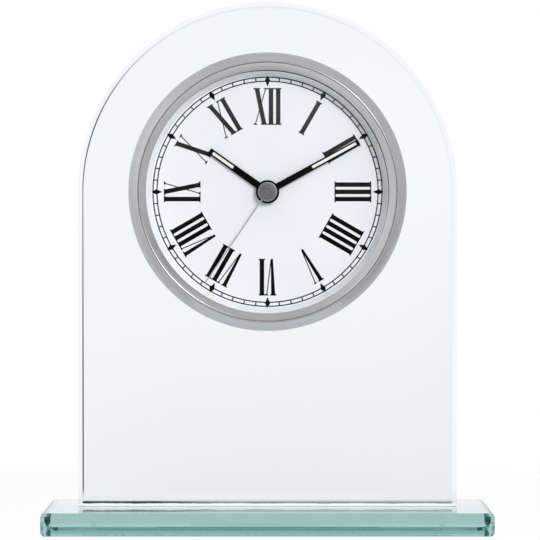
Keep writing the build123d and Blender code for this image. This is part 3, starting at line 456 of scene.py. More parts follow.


# the bead of adhesive: dark at the left end, paler towards the middle and the right
beadFinish = {"dark": (0.03, 0.036, 0.04), "pale": (0.43, 0.47, 0.47), "from": -52, "to": 0, "uneven": 0.1}


def beadFilm():
    sizes = beadFinish
    finish = Finish("beadFilm")
    along = finish.spread(finish.axis(finish.place, "X"), 0, 1, sizes["from"] * mm, sizes["to"] * mm)
    uneven = finish.spread(finish.noise(260, 3), -sizes["uneven"], sizes["uneven"])
    finish.colour(finish.math("ADD", along, uneven), sizes["dark"], sizes["pale"])
    finish.rough(finish.noise(500), 0.15, 0.3)
    finish.bump(finish.noise(1500, 2), 0.4, 0.04)


# soft clear dots under the base, hardly seen
def clearPad():
    finish = Finish("clearPad", Base_Color=(0.9, 0.92, 0.92, 1))
    finish.rough(finish.noise(300), 0.3, 0.45)
    finish.join(finish.spread(finish.noise(900), 0.05, 0.12), finish.shader.inputs["Alpha"])
    finish.bump(finish.noise(1200, 2), 0.2, 0.03)


# jacket of the cell: a dark film with a pale band at one end
filmSizes = {
    "bandFrom": 0.72, "bandEdge": 0.2, "dark": ((0.03, 0.034, 0.042), (0.042, 0.047, 0.058)),
    "pale": ((0.5, 0.51, 0.53), (0.58, 0.59, 0.61)),
}


def cellFilm():
    finish = Finish("cellFilm", Coat_Weight=0.4, Coat_Roughness=0.12)
    low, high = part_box("battery_cell")
    edge = low.x + (high.x - low.x) * filmSizes["bandFrom"]
    band = finish.spread(finish.axis(finish.place, "X"), 0, 1, edge, edge + filmSizes["bandEdge"] * mm)
    film = finish.add("ShaderNodeMix")
    film.data_type = "RGBA"
    finish.join(band, film.inputs["Factor"])
    for label, colours in (("A", "dark"), ("B", "pale")):
        finish.join(finish.blend(finish.noise(300), *filmSizes[colours]), film.inputs[label])
    finish.join(film.outputs["Result"], finish.shader.inputs["Base Color"])
    finish.rough(finish.noise(700), 0.22, 0.34)
    finish.bump(finish.noise(420, 2), 0.08, 0.03)


# enamelled wire, wound close about the bobbin
def copperWire():
    finish = Finish("copperWire", Metallic=1.0, Coat_Weight=0.3)
    wires = finish.add("ShaderNodeTexWave", Scale=1400, Distortion=0.6)
    wires.wave_type = "BANDS"
    wires.bands_direction = "X"
    finish.join(finish.place, wires.inputs["Vector"])
    finish.colour(wires.outputs["Fac"], (0.42, 0.15, 0.06), (0.7, 0.31, 0.15))
    finish.rough(finish.noise(900), 0.22, 0.36)
    finish.bump(wires.outputs["Fac"], 0.6, 0.08)


for name, sizes in plainFinishes.items():
    plainFinish(name, *sizes)
for name, sizes in glassSizes.items():
    glassFinish(name, **sizes)
for special in (satinSilver, capMetal, numeralInk, beadFilm, clearPad, cellFilm, copperWire):
    special()
print("materials made")

# the CAD shapes that stay, under their finishes
nodeFinish = {
    "clearPad": ("base_pads",), "lensGlass": ("lens",), "cupBlack": ("housing_cup",), "knobBlack": ("setting_knob",),
    "rubberBlack": ("retaining_sleeve",), "whiteMoulding": ("spacer_ring",), "dialWhite": ("dial_plate",),
    "handBlack": ("hour_hand", "minute_hand"), "handCream": ("hour_hand_lume", "minute_hand_lume"),
    "handSteel": ("second_hand",), "copperWire": ("coil_winding",), "magnetDark": ("rotor_magnet",),
    "boardGreen": ("circuit_board",), "chipBlack": ("timing_chip",), "brassPart": ("cannon_pinion", "setting_arbor"),
    "naturalMoulding": ("movement_front_plate", "movement_middle_plate", "movement_rear_plate", "coil_bobbin"),
    "gearMoulding": ("hour_wheel", "minute_wheel", "centre_wheel", "third_wheel", "second_wheel",
                     "intermediate_wheel", "rotor_pinion"),
    "brightSteel": ("plate_screws", "case_screws", "clutch_spring", "stator", "coil_core", "quartz_crystal",
                    "contact_positive", "contact_negative"),
}
for finish, names in nodeFinish.items():
    for name in names:
        putFinish(nodes[name].data, finish)

# small rounded edges on the CAD shapes that catch the light
edgeRounds = {"hour_hand": 0.06, "minute_hand": 0.06, "second_hand": 0.05, "housing_cup": 0.15, "setting_knob": 0.12}
edgeSizes = {"weld": 0.002, "segments": 2, "angle": 40}
for name, width in edgeRounds.items():
    weld = nodes[name].modifiers.new("weld", "WELD")
    weld.merge_threshold = edgeSizes["weld"] * mm
    bevel = nodes[name].modifiers.new("edge", "BEVEL")
    bevel.width = width * mm
    bevel.segments = edgeSizes["segments"]
    bevel.limit_method = "ANGLE"
    bevel.angle_limit = math.radians(edgeSizes["angle"])
print("finishes put on", sum(len(names) for names in nodeFinish.values()), "nodes")

# Glass base: a ground and polished slab, its rear edges broken a little more than the others

slabSizes = {"chamfer": (1.0, 1.0), "rearTop": (1.5, 1.5), "rearFoot": (1.14, 1.3)}


def glassSlab():
    low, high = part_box("glass_base")
    middle, half = (low + high) / 2, (high - low) / 2
    shape = bmesh.new()
    bmesh.ops.create_cube(shape, size=2)
    for corner in shape.verts:
        corner.co = [m + h * c for m, h, c in zip(middle, half, corner.co)]
    sides = [(first, second, across) for first in (-1, 1) for second in (-1, 1) for across in range(3)]
    for first, second, across in sides:
        one, two = [a for a in range(3) if a != across]
        normal = Vector((0, 0, 0))
        normal[one], normal[two] = first, second
        legs = slabSizes[{(0, 1, 1): "rearTop", (0, 1, -1): "rearFoot"}.get(tuple(normal), "chamfer")]
        cut = middle + Vector([h * n for h, n in zip(half, normal)])
        cut[one] -= first * legs[0] * mm
        normal[one], normal[two] = first / legs[0], second / legs[1]
        everything = shape.verts[:] + shape.edges[:] + shape.faces[:]
        made = bmesh.ops.bisect_plane(shape, geom=everything, plane_co=cut, plane_no=normal, clear_outer=True)
        rim = [e for e in made["geom_cut"] if isinstance(e, bmesh.types.BMEdge)]
        bmesh.ops.contextual_create(shape, geom=rim)
    bmesh.ops.remove_doubles(shape, verts=shape.verts[:], dist=1e-7)
    return meshFrom(shape, sharp=15)


addPiece("glass_slab", glassSlab(), "case", "baseGlass", ("glass_base",))
print("glass base made")

# Glass panel

panelSizes = {"chamfer": 1.5, "backBevel": 0.76, "holeChamfer": 0.5, "hole": 41.9, "archSteps": 192, "holeSteps": 256}


def panelOutline(width, bottom):
    steps = panelSizes["archSteps"]
    arch = arcPoints(width, [math.pi - math.pi * i / steps for i in range(steps + 1)])
    return [(-width, bottom), *arch, (width, bottom)]


def glassPanel():
    sizes = panelSizes
    low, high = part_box("glass_panel")
    half = (high.x - low.x) / 2 / mm
    bottom = (low.z - dialCentre.z) / mm
    thick = (high.y - low.y) / mm
    cut, edge = sizes["chamfer"], sizes["holeChamfer"]
    shape = bmesh.new()

    def loop(points, depth):
        return [shape.verts.new((u * mm, v * mm, -depth * mm)) for u, v in points]

    small, full = panelOutline(half - cut, bottom + cut), panelOutline(half, bottom)
    wide, tight = [circlePoints(sizes["hole"] + grow, sizes["holeSteps"]) for grow in (edge, 0)]
    outer = [loop(small, 0), loop(full, cut), loop(full, thick - sizes["backBevel"]), loop(small, thick)]
    inner = [loop(wide, 0), loop(tight, edge), loop(tight, thick - edge), loop(wide, thick)]
    skinned(shape, outer)
    skinned(shape, inner)
    for end in (0, -1):
        rims = []
        for rim in (outer[end], inner[end]):
            rims += [shape.edges.get(pair) for pair in zip(rim, rim[1:] + rim[:1])]
        bmesh.ops.triangle_fill(shape, use_beauty=True, use_dissolve=False, edges=rims)
    return meshFrom(shape, facing(low.y), sharp=15)


addPiece("arched_panel", glassPanel(), "case", "panelGlass", ("glass_panel",))
print("glass panel made")

# Clear adhesive between the panel and the base, and the bead that it leaves along the front chamfer

bondSizes = {
    "steps": 150, "inset": 0.4, "wander": 0.35, "sink": 0.03, "frontSeed": 1.0, "backSeed": 4.0,
    "bead": 0.6, "beadWander": 0.12, "beadSeed": 2.0, "beadRise": 0.14, "riseWander": 0.04, "riseSeed": 7.0,
    "beadThick": 0.04, "beadGap": 0.01,
}


# a slow wander of about one either way, the same at each run
def wander(x, seed):
    slow, middling, quick = (math.sin(x * rate + seed * shift) for rate, shift in ((0.31, 1), (0.83, 2.7), (2.1, 5.1)))
    return (slow + middling * 0.7 + quick * 0.4) / 2.1


def bondLayer():
    sizes = bondSizes
    low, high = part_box("bond_film")
    half, front, back = high.x / mm - sizes["inset"], low.y / mm + sizes["inset"], high.y / mm - sizes["inset"]
    xs = [-half + 2 * half * i / sizes["steps"] for i in range(sizes["steps"] + 1)]
    outline = [(x, front + sizes["wander"] * wander(x, sizes["frontSeed"])) for x in xs]
    outline += [(x, back + sizes["wander"] * wander(x, sizes["backSeed"])) for x in reversed(xs)]
    shape = bmesh.new()
    addPrism(shape, outline, low.z / mm - sizes["sink"], high.z / mm + sizes["sink"])
    return meshFrom(shape)


def bondBead():
    sizes = bondSizes
    low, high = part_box("glass_panel")
    cut = panelSizes["chamfer"]
    half = high.x / mm - cut
    top, front = low.z / mm + cut, low.y / mm
    near, out = sizes["beadGap"], sizes["beadThick"]
    shape = bmesh.new()
    rows = []
    for i in range(sizes["steps"] * 2 + 1):
        x = -half + half * i / sizes["steps"]
        drop = sizes["bead"] + sizes["beadWander"] * wander(x, sizes["beadSeed"])
        rise = sizes["beadRise"] + sizes["riseWander"] * wander(x, sizes["riseSeed"])
        section = [(-near, rise), (-near, 0), (drop - near, -drop - near),
                   (drop - out, -drop), (-out, -out / 2), (-out, rise - out)]  # up the face and down the chamfer
        rows.append([shape.verts.new((x * mm, (front + y) * mm, (top + z) * mm)) for y, z in section])
    skinned(shape, rows)
    shape.faces.new(rows[0])
    shape.faces.new(rows[-1])
    return meshFrom(shape, sharp=50)


addPiece("bond_layer", bondLayer(), "case", "clearBond", ("bond_film",))
addPiece("bond_bead", bondBead(), "case", "beadFilm")
print("adhesive made")

# Bezel

bezelSizes = {
    "opening": 39.2, "crest": 41.9, "rim": 0.7, "lip": 0.3, "lens": 40.4, "flange": 43.9, "seat": 0.8, "steps": 320,
    "crestRound": 1.0, "crestRise": 0.22, "edgeRound": 0.12, "rimRound": 0.25, "lipRound": 0.08,
}


def bezelRing():
    sizes = bezelSizes
    low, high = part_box("bezel")
    outer = (high.x - low.x) / 2 / mm
    front = (high.y - low.y) / mm
    lens = (high.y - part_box("lens")[0].y) / mm
    outline = softened([
        (sizes["opening"], lens + sizes["lip"], sizes["edgeRound"]),
        (sizes["crest"], front + sizes["crestRise"], sizes["crestRound"]),
        (outer, sizes["rim"], sizes["rimRound"]),
        (outer, 0, sizes["edgeRound"]),
        (sizes["flange"], 0, 0),
        (sizes["flange"], sizes["seat"], 0),
        (sizes["lens"], sizes["seat"], 0),
        (sizes["lens"], lens, 0),
        (sizes["opening"], lens, sizes["lipRound"]),
    ])
    return meshFrom(turned(outline, sizes["steps"]), facing(high.y), sharp=40)


addPiece("bezel_ring", bezelRing(), "case", "satinSilver", ("bezel",))

# thin black ring behind the lens, a painted shadow that stands for the shade under the bezel's lip; it sits a hair low
# and to the left, so that its edge shows at the upper right
lipShadowSizes = {"inner": 39.3, "outer": 39.75, "thick": 0.03, "off": 0.4, "towards": 235}


def lipShadowRing():
    sizes = lipShadowSizes
    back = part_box("lens")[1].y
    angle = math.radians(sizes["towards"])
    shape = turned(bandOutline(sizes["inner"], sizes["outer"], 0, sizes["thick"]))
    place = facing(back + sizes["thick"] * mm, dialCentre.x + sizes["off"] * math.cos(angle) * mm,
                   dialCentre.z + sizes["off"] * math.sin(angle) * mm)
    return meshFrom(shape, place)


addPiece("lip_shadow_ring", lipShadowRing(), "case", "rubberBlack")

# small domed cap on the second hand
capSizes = {"dome": 0.18, "domeSteps": 8, "edge": 0.15, "edgeStep": 0.3, "steps": 96}


def handCap():
    sizes = capSizes
    low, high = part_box("second_hand_cap")
    radius = (high.x - low.x) / 2 / mm
    thick = (high.y - low.y) / mm
    dome, edge = sizes["dome"], sizes["edge"]
    step = edge * sizes["edgeStep"]
    outline = [(0, 0), (radius, 0), (radius, thick - dome - edge), (radius - step, thick - dome - step)]
    for i in range(sizes["domeSteps"] + 1):
        reach = 1 - i / sizes["domeSteps"]
        outline.append(((radius - edge) * reach, thick - dome * reach ** 2))
    return meshFrom(turned(outline, sizes["steps"]), facing(high.y), sharp=40)


addPiece("cap_dome", handCap(), "seconds", "capMetal", ("second_hand_cap",))
print("bezel and cap made")

# Dial print

printSizes = {
    "lift": 0.01, "thick": 0.03, "weld": 0.003,
    "trackInner": 35.8, "trackOuter": 37.1, "line": 0.37, "trackSteps": 240, "minutes": 60,
    "lozengeIn": 34.1, "lozengeOut": 37.6, "lozengeWide": 36.1, "lozengeHalf": 0.86, "lozengeThick": 0.039,
    "bottom": 21.7, "top": 33.6, "serif": 0.3, "bracket": 0.28,
    "bar": 1.44, "barOver": 0.36, "thickStroke": 1.46, "hairline": 0.32,
}
hourMarks = ("XII", "I", "II", "III", "IIII", "V", "VI", "VII", "VIII", "IX", "X", "XI")
# where the strokes of X and of V stand, and the spans of their serif lines
crossSizes = {"lean": 1.2, "hairLean": 1.7, "serif": (0.1, 2.3), "hairSerif": (1.05, 2.3)}
wedgeSizes = {"top": (-1.05, 0.25), "foot": (-0.3, 0.4), "serif": (-1.45, 0.65),
              "hairTop": 1.75, "hairFoot": (0.1, 0.4), "hairSerif": (1.25, 2.18)}
# how far apart two neighbouring strokes stand, and how far a letter reaches left and right of its own centre
letterGap = {"II": 2.34, "XI": 3.38, "IX": 3.48, "VI": 3.26}
letterReach = {"I": (1.07, 1.07), "X": (2.25, 2.25), "V": (1.45, 2.18)}


def around(centre, half):
    return centre - half, centre + half


def mirrored(span):
    return -span[1], -span[0]


# a stroke from its span at the top to its span at the foot
def slant(topSpan, footSpan):
    top, bottom = printSizes["top"], printSizes["bottom"]
    return [(footSpan[0], bottom), (footSpan[1], bottom), (topSpan[1], top), (topSpan[0], top)]


# a serif line, with small brackets where the stroke meets it; inward is +1 at the foot and -1 at the top
def serifLine(span, stroke, inward):
    level, bracket = printSizes["bottom" if inward > 0 else "top"], printSizes["bracket"]
    near = level + inward * printSizes["serif"]
    far = near + inward * bracket
    outline = [(span[0], level), (span[1], level), (span[1], near), (stroke[1] + bracket, near), (stroke[1], far),
               (stroke[0], far), (stroke[0] - bracket, near), (span[0], near)]
    clean = [p for i, p in enumerate(outline) if i == 0 or (Vector(p) - Vector(outline[i - 1])).length > 1e-4]
    return clean if inward > 0 else clean[::-1]


def letterStrokes(letter, centre):
    hair = printSizes["hairline"] / 2
    if letter == "I":
        half = printSizes["bar"] / 2
        bar, line = around(0, half), around(0, half + printSizes["barOver"])
        strokes = [slant(bar, bar), serifLine(line, bar, 1), serifLine(line, bar, -1)]
    elif letter == "X":
        sizes, wide = crossSizes, printSizes["thickStroke"] / 2
        thickTop, thickFoot = around(-sizes["lean"], wide), around(sizes["lean"], wide)
        hairTop, hairFoot = around(sizes["hairLean"], hair), around(-sizes["hairLean"], hair)
        strokes = [slant(thickTop, thickFoot), slant(hairTop, hairFoot),
                   serifLine(mirrored(sizes["serif"]), thickTop, -1), serifLine(sizes["serif"], thickFoot, 1),
                   serifLine(sizes["hairSerif"], hairTop, -1), serifLine(mirrored(sizes["hairSerif"]), hairFoot, 1)]
    else:
        sizes, hairTop = wedgeSizes, around(wedgeSizes["hairTop"], hair)
        strokes = [slant(sizes["top"], sizes["foot"]), slant(hairTop, sizes["hairFoot"]),
                   serifLine(sizes["serif"], sizes["top"], -1), serifLine(sizes["hairSerif"], hairTop, -1)]
    return [[(u + centre, v) for u, v in stroke] for stroke in strokes]


def numeralRing():
    sizes = printSizes
    top, bottom, serif = sizes["top"], sizes["bottom"], sizes["serif"]
    shape = bmesh.new()
    for hour, letters in enumerate(hourMarks):
        centres = [0.0]
        for pair in zip(letters, letters[1:]):
            centres.append(centres[-1] + letterGap["".join(pair)])
        left = centres[0] - letterReach[letters[0]][0]
        right = centres[-1] + letterReach[letters[-1]][1]
        centres = [centre - (left + right) / 2 for centre in centres]
        strokes = []
        for letter, centre in zip(letters, centres):
            strokes += letterStrokes(letter, centre)
        # neighbouring bars share one serif line
        for pair, a, b in zip(zip(letters, letters[1:]), centres, centres[1:]):
            if pair == ("I", "I"):
                for low, high in ((bottom, bottom + serif), (top - serif, top)):
                    strokes.append([(a, low), (b, low), (b, high), (a, high)])
        angle = -math.tau * hour / len(hourMarks)
        cos, sin = math.cos(angle), math.sin(angle)
        for stroke in strokes:
            outline = [(u * cos - v * sin, u * sin + v * cos) for u, v in stroke]
            addPrism(shape, outline, sizes["lift"], sizes["lift"] + sizes["thick"])
    merged = carriedOut(meshFrom(shape), strokeTree(), {"Material": finishes["numeralInk"]})
    shape = bmesh.new()
    shape.from_mesh(merged)
    bmesh.ops.remove_doubles(shape, verts=shape.verts[:], dist=sizes["weld"] * mm)
    bmesh.ops.dissolve_degenerate(shape, edges=shape.edges[:], dist=sizes["weld"] * mm)
    return meshFrom(shape, facing(dialLow.y))


def trackRings():
    sizes = printSizes
    shape = bmesh.new()
    for radius in (sizes["trackInner"], sizes["trackOuter"]):
        line = around(radius, sizes["line"] / 2)
        turned(bandOutline(*line, sizes["lift"], sizes["lift"] + sizes["thick"]), sizes["trackSteps"], shape)
    return meshFrom(shape, facing(dialLow.y))


roundTheDial = polarTree()


def repeatedMark(outline, thick, count):
    shape = bmesh.new()
    addPrism(shape, outline, printSizes["lift"], printSizes["lift"] + thick)
    made = carriedOut(meshFrom(shape), roundTheDial, {"Count": count, "Material": finishes["dialInk"]})
    made.transform(facing(dialLow.y))
    return made


def minuteTicks():
    sizes = printSizes
    half = sizes["line"] / 2
    low, high = sizes["trackInner"] + half, sizes["trackOuter"] - half
    return repeatedMark(bandOutline(-half, half, low, high), sizes["thick"], sizes["minutes"])


def hourLozenges():
    sizes = printSizes
    wide, level = sizes["lozengeHalf"], sizes["lozengeWide"]
    outline = [(0, sizes["lozengeIn"]), (wide, level), (0, sizes["lozengeOut"]), (-wide, level)]
    return repeatedMark(outline, sizes["lozengeThick"], len(hourMarks))


addPiece("dial_numerals", numeralRing(), "case", "numeralInk")
addPiece("dial_track", trackRings(), "case", "dialInk")
addPiece("dial_ticks", minuteTicks(), "case", "dialInk")
addPiece("dial_lozenges", hourLozenges(), "case", "dialInk")
print("dial printed")

# Cell

cellSizes = {
    "steps": 128, "film": 0.12, "shoulder": 0.9, "filmEnds": (0.1, 0.02, 0.25, 0.35), "filmRounds": (0.4, 0.5, 0.1),
    "gap": 0.02, "ground": 4.6, "groundSlope": 0.6, "groundDish": 0.21, "raised": 0.05,
    "lip": 0.3, "lipGap": 0.05, "lipDeep": 0.4, "topDip": 0.12,
    "nub": 2.7, "nubLength": 1.3, "nubSkirt": 0.5, "nubFoot": 0.1, "nubStart": 0.3, "nubEdge": 0.25,
}


# the film is turned in over both ends of the can; heights run along the cell
def cellPieces():
    sizes = cellSizes
    low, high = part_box("battery_cell")
    length = (high.x - low.x) / mm
    radius = (high.z - low.z) / 2 / mm
    body = length - sizes["nubLength"]
    lap, film = radius - sizes["shoulder"], radius - sizes["film"]
    end, out, inside, deep = sizes["filmEnds"]
    foot, top, fine = sizes["filmRounds"]
    jacket = softened([
        (radius, end, foot), (radius, body - end, top), (lap, body - out, fine), (lap, body - inside, 0),
        (film, body - deep, 0), (film, deep, 0), (lap, inside, 0), (lap, out, fine),
    ])
    core, nub, ground, dish = film - sizes["gap"], sizes["nub"], sizes["ground"], sizes["groundDish"]
    lip, step, deep = lap - sizes["lip"], lap - sizes["lipGap"], sizes["lipDeep"]
    raised, dip, edge = sizes["raised"], body - sizes["topDip"], sizes["nubEdge"]
    can = [(0, dish), (ground - sizes["groundSlope"], dish), (ground, raised), (lip, raised), (step, deep),
           (core, deep), (core, body - deep), (step, body - deep), (lip, dip), (nub + sizes["nubSkirt"], dip),
           (nub + sizes["nubFoot"], body + raised), (nub, body + sizes["nubStart"]), (nub, length - edge),
           (nub - edge, length), (0, length)]
    middle = (low + high) / 2
    place = Matrix(((0, 0, 1, low.x), (0, 1, 0, middle.y), (-1, 0, 0, middle.z), (0, 0, 0, 1)))
    return [meshFrom(turned(outline, sizes["steps"]), place, sharp=35) for outline in (jacket, can)]


jacketMesh, canMesh = cellPieces()
addPiece("cell_jacket", jacketMesh, "cell", "cellFilm", ("battery_cell",))
addPiece("cell_can", canMesh, "cell", "brightSteel", ("battery_cell",))
print("cell made")

# Mouldings on the cup's back: rim, frame of the bay, polarity marks and the arrow of the setting knob

rearSizes = {
    "sink": 0.05, "rise": 0.35, "draft": 0.12, "rimInner": 38.5, "rimOuter": 39.5, "rimSteps": 192,
    "bay": (25.77, 7.3), "bayUp": -18.47, "bayCorner": 0.3, "cornerSteps": 6, "bayGap": 0.15, "bayWide": 1.0,
    "markOut": 21.5, "markUp": -7.2, "markHalf": 1.5, "markLine": 0.32,
    "knobRight": 12.5, "knobUp": 7.2, "arrowAt": 8.7, "arrowLine": 0.28, "arrowHead": 0.95, "headTurn": 14,
    "arrowFrom": 35, "arrowTo": 145, "arrowSteps": 24,
}
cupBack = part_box("housing_cup")[1].y


# a raised band of sloping sides, from its outline at any distance outwards
def raisedBand(shape, outlineAt, inner, outer):
    sizes = rearSizes
    edges = ((inner, -sizes["sink"]), (outer, -sizes["sink"]),
             (outer - sizes["draft"], sizes["rise"]), (inner + sizes["draft"], sizes["rise"]))
    rows = [[shape.verts.new((u * mm, v * mm, w * mm)) for u, v in outlineAt(out)] for out, w in edges]
    skinned(shape, rows + rows[:1])


def bayAt(grow):
    sizes, points = rearSizes, []
    wide, tall = [half - sizes["bayCorner"] for half in sizes["bay"]]
    radius, steps = sizes["bayCorner"] + grow, sizes["cornerSteps"]
    for quarter, (right, up) in enumerate(((1, 1), (-1, 1), (-1, -1), (1, -1))):
        for i in range(steps + 1):
            turn = math.pi / 2 * (quarter + i / steps)
            points.append((right * wide + radius * math.cos(turn),
                           sizes["bayUp"] + up * tall + radius * math.sin(turn)))
    return points


def arrowOutline():
    sizes = rearSizes
    first, last = math.radians(sizes["arrowFrom"]), math.radians(sizes["arrowTo"])
    head, line, wing = math.radians(sizes["headTurn"]), sizes["arrowLine"], sizes["arrowHead"]

    def spot(out, turn):
        radius = sizes["arrowAt"] + out
        return sizes["knobRight"] + radius * math.cos(turn), sizes["knobUp"] + radius * math.sin(turn)

    steps = sizes["arrowSteps"]
    shaft = [first + head + (last - first - 2 * head) * i / steps for i in range(steps + 1)]
    points = [spot(line, turn) for turn in shaft]
    points += [spot(wing, last - head), spot(0, last), spot(-wing, last - head)]
    points += [spot(-line, turn) for turn in reversed(shaft)]
    return points + [spot(-wing, first + head), spot(0, first), spot(wing, first + head)]


def rearMouldings():
    sizes = rearSizes
    shape = bmesh.new()
    raisedBand(shape, lambda radius: circlePoints(radius, sizes["rimSteps"]), sizes["rimInner"], sizes["rimOuter"])
    raisedBand(shape, bayAt, sizes["bayGap"], sizes["bayGap"] + sizes["bayWide"])
    return meshFrom(shape, facingBack(cupBack))


def rearMarks():
    sizes = rearSizes
    shape = bmesh.new()
    h, t, out, up = sizes["markHalf"], sizes["markLine"], sizes["markOut"], sizes["markUp"]
    plus = [(-t, -h), (t, -h), (t, -t), (h, -t), (h, t), (t, t), (t, h), (-t, h), (-t, t), (-h, t), (-h, -t), (-t, -t)]
    minus = bandOutline(-h, h, -t, t)
    for outline in ([(u - out, v + up) for u, v in plus], [(u + out, v + up) for u, v in minus], arrowOutline()):
        addPrism(shape, outline, -sizes["sink"], sizes["rise"])
    return meshFrom(shape, facingBack(cupBack))


addPiece("rear_mouldings", rearMouldings(), "case", "knobBlack")
addPiece("rear_marks", rearMarks(), "case", "markGrey")
print("cup's back moulded")

# Floor, light and camera

floorSizes = {
    "radius": 0.34, "segments": 96, "matt": 0.8, "seen": 0.885, "seenMatt": 0.14,
    "fade": (0.16, 0.33), "glossFade": (0.11, 0.15), "gloss": (0.55, 0.43), "glossReach": 0.2,
    "through": 0.92, "under": 0.8, "underHalf": (0.07, 0.021), "underEdge": (0.003, 0.004),
}


def paleFloor():
    sizes = floorSizes
    shape = bmesh.new()
    bmesh.ops.create_circle(shape, cap_ends=True, segments=sizes["segments"], radius=sizes["radius"])
    mesh = meshFrom(shape)
    mesh.name = "floor"
    for polygon in mesh.polygons:
        if polygon.normal.z < 0:
            polygon.flip()
    floor = newObject("floor", mesh)
    material = bpy.data.materials.new("paleFloor")
    paint = ShaderTree(material, "ShaderNodeOutputMaterial")
    path = paint.add("ShaderNodeLightPath").outputs
    place = paint.add("ShaderNodeTexCoord").outputs["Object"]

    def matt(level):
        return paint.add("ShaderNodeBsdfDiffuse", Color=(level, level, level, 1)).outputs[0]

    def glow(level):
        return paint.glow("ShaderNodeEmission", level)

    both = paint.add("ShaderNodeAddShader")
    paint.join(glow(sizes["seen"]), both.inputs[0])
    paint.join(matt(sizes["seenMatt"]), both.inputs[1])
    shader = paint.picked(path["Is Camera Ray"], matt(sizes["matt"]), both.outputs[0])
    sheen = paint.spread(paint.axis(place, "X"), *sizes["gloss"], -sizes["glossReach"], sizes["glossReach"])
    shader = paint.picked(path["Is Glossy Ray"], shader, glow(sheen))
    # painted shadow: the glass sees the floor's glow darker under the base, where the base's shade falls
    shadowCover = 1.0
    for letter, half in zip("XY", sizes["underHalf"]):
        off = paint.math("ABSOLUTE", paint.axis(place, letter))
        inside, outside = sizes["underEdge"]
        shadowCover = paint.math("MULTIPLY", paint.spread(off, 1, 0, half - inside, half + outside, True), shadowCover)
    shade = paint.spread(shadowCover, sizes["through"], sizes["under"], 0, 1)
    shader = paint.picked(path["Is Transmission Ray"], shader, glow(shade))
    # reflections see less of the floor than the camera does
    reach = paint.measure("LENGTH", place)
    ending = paint.add("ShaderNodeMix")
    paint.join(path["Is Glossy Ray"], ending.inputs["Factor"])
    for label, span in (("A", "fade"), ("B", "glossFade")):
        paint.join(paint.spread(reach, 0, 1, *sizes[span], True), ending.inputs[label])
    clear = paint.add("ShaderNodeBsdfTransparent")
    shader = paint.picked(ending.outputs["Result"], shader, clear.outputs[0])
    paint.join(shader, paint.out.inputs["Surface"])
    mesh.materials.append(material)


paleFloor()

# the room: white for the camera, soft for matt things, and its own greys for glass and metal;
# a lobe is where it lies, how narrow it is and how much light it adds or takes
roomSizes = {
    "air": (0.99, 1.0, 1.01),
    "ambient": 0.265,
    "ambientLobes": (((0.55, -0.6, 0.58), 2, 0.3), ((0, -1, 0.1), 6, 0.42), ((0, 0, 1), 2, 0.2),
                     ((0.85, -0.45, 0.28), 4, 0.6)),
    "metal": 0.66,
    "metalLobes": (((-1, 0, 0), 1, 0.02), ((1, 0, 0), 1, -0.08), ((-0.85, -0.25, 0.47), 9, 0.18),
                   ((0.65, 0, -0.76), 4, -0.1), ((0, -0.67, -0.74), 4, 0.1), ((0, -1, 0), 14, -0.56),
                   ((-0.42, -0.8, 0.42), 160, 0.9), ((0.364, -0.857, 0.364), 120, 5.5),
                   ((0.022, -0.9987, 0.045), 5000, 0.5), ((0, -1, 0.01), 250, -0.11),
                   ((-0.85, -0.2, -0.49), 14, -0.18), ((0.85, -0.2, -0.49), 14, -0.1),
                   ((0.66, -0.62, 0.42), 40, -0.16), ((-0.5, -0.2, 0.87), 10, -0.07),
                   ((0.55, -0.63, 0.55), 8, -0.14), ((-0.25, -0.63, 0.74), 8, -0.1), ((0, 0.993, 0.12), 30, 0.42)),
    "glass": 0.985, "glassColour": (1.015, 1.0, 1.042),
    "glassLobes": (((0.217, 0.97, -0.11), 300, -0.85), ((0.217, 0.975, -0.03), 300, -0.6),
                   ((0.217, 0.975, 0.035), 400, -0.16), ((-0.05, 0.99, -0.13), 600, -0.075),
                   ((0, 0.99, -0.13), 600, -0.075), ((0.05, 0.99, -0.13), 600, -0.075),
                   ((0.065, 0.9977, 0.02), 1200, 0.045)),
    "bandColour": (0.6, 0.76, 0.725), "bandFoot": (0.085, 0.105), "bandTop": (0.15, 0.19),
}


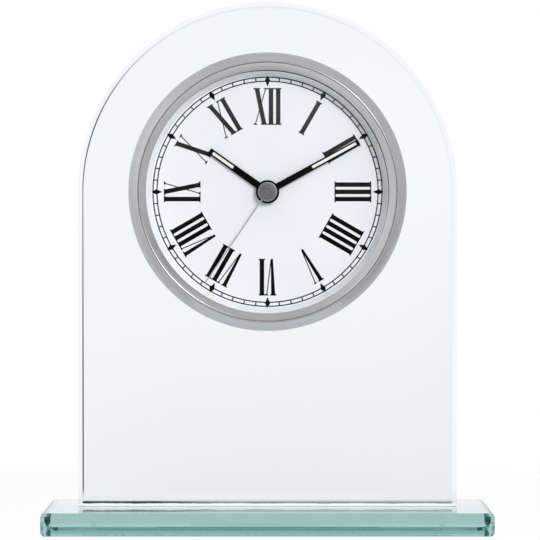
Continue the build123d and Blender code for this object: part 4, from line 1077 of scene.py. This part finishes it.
def studioRoom():
    sizes = roomSizes
    world = bpy.data.worlds.new("studioRoom")
    bpy.context.scene.world = world
    room = ShaderTree(world, "ShaderNodeOutputWorld")
    path = room.add("ShaderNodeLightPath").outputs
    direction = room.add("ShaderNodeTexCoord").outputs["Generated"]

    def lobes(kind):
        total = sizes[kind]
        for towards, power, amount in sizes[kind + "Lobes"]:
            along = room.measure("DOT_PRODUCT", direction, Vector(towards).normalized())
            lobe = room.math("POWER", room.math("MAXIMUM", along, 0.0), power)
            total = room.math("ADD", room.math("MULTIPLY", lobe, amount), total)
        return total

    def background(strength, colour=(1, 1, 1)):
        return room.glow("ShaderNodeBackground", strength, colour)

    # a low band above the skyline has its own colour through the glass
    height = room.axis(direction, "Z")
    foot = room.spread(height, 0, 1, *sizes["bandFoot"], True)
    top = room.spread(height, 1, 0, *sizes["bandTop"], True)
    level = lobes("glass")
    through = room.picked(room.math("MULTIPLY", top, foot), background(level, sizes["glassColour"]),
                          background(level, sizes["bandColour"]))
    shader = background(lobes("ambient"), sizes["air"])
    shader = room.picked(path["Is Glossy Ray"], shader, background(lobes("metal"), sizes["air"]))
    shader = room.picked(path["Is Transmission Ray"], shader, through)
    shader = room.picked(path["Is Camera Ray"], shader, background(1.0))
    room.join(shader, room.out.inputs["Surface"])


studioRoom()

lampSizes = {"size": 0.22, "power": 3.4, "place": (0.305, -0.735, 0.415)}


def softLamp():
    data = bpy.data.lights.new("softLamp", "AREA")
    data.shape = "DISK"
    data.size = lampSizes["size"]
    data.energy = lampSizes["power"]
    lamp = newObject("softLamp", data)
    lamp.location = lampSizes["place"]
    lamp.rotation_euler = (dialCentre - lamp.location).to_track_quat("-Z", "Y").to_euler()
    lamp.visible_transmission = False
    lamp.visible_glossy = False


softLamp()

cameraSizes = {"place": (0.0008, -0.896, 0.1013), "pitch": 1.05, "lens": 184.3, "sensor": 36}


def photoCamera():
    data = bpy.data.cameras.new("photoCamera")
    data.lens = cameraSizes["lens"]
    data.sensor_width = cameraSizes["sensor"]
    camera = newObject("photoCamera", data)
    camera.location = cameraSizes["place"]
    camera.rotation_euler = (math.radians(90 - cameraSizes["pitch"]), 0, 0)
    bpy.context.scene.camera = camera


photoCamera()
bpy.context.scene.view_settings.view_transform = "Standard"
# light that goes to and fro inside the glass edges
bpy.context.scene.cycles.max_bounces = 24
bpy.context.scene.cycles.glossy_bounces = 20
bpy.context.scene.cycles.transmission_bounces = 20
print("floor, light and camera set")
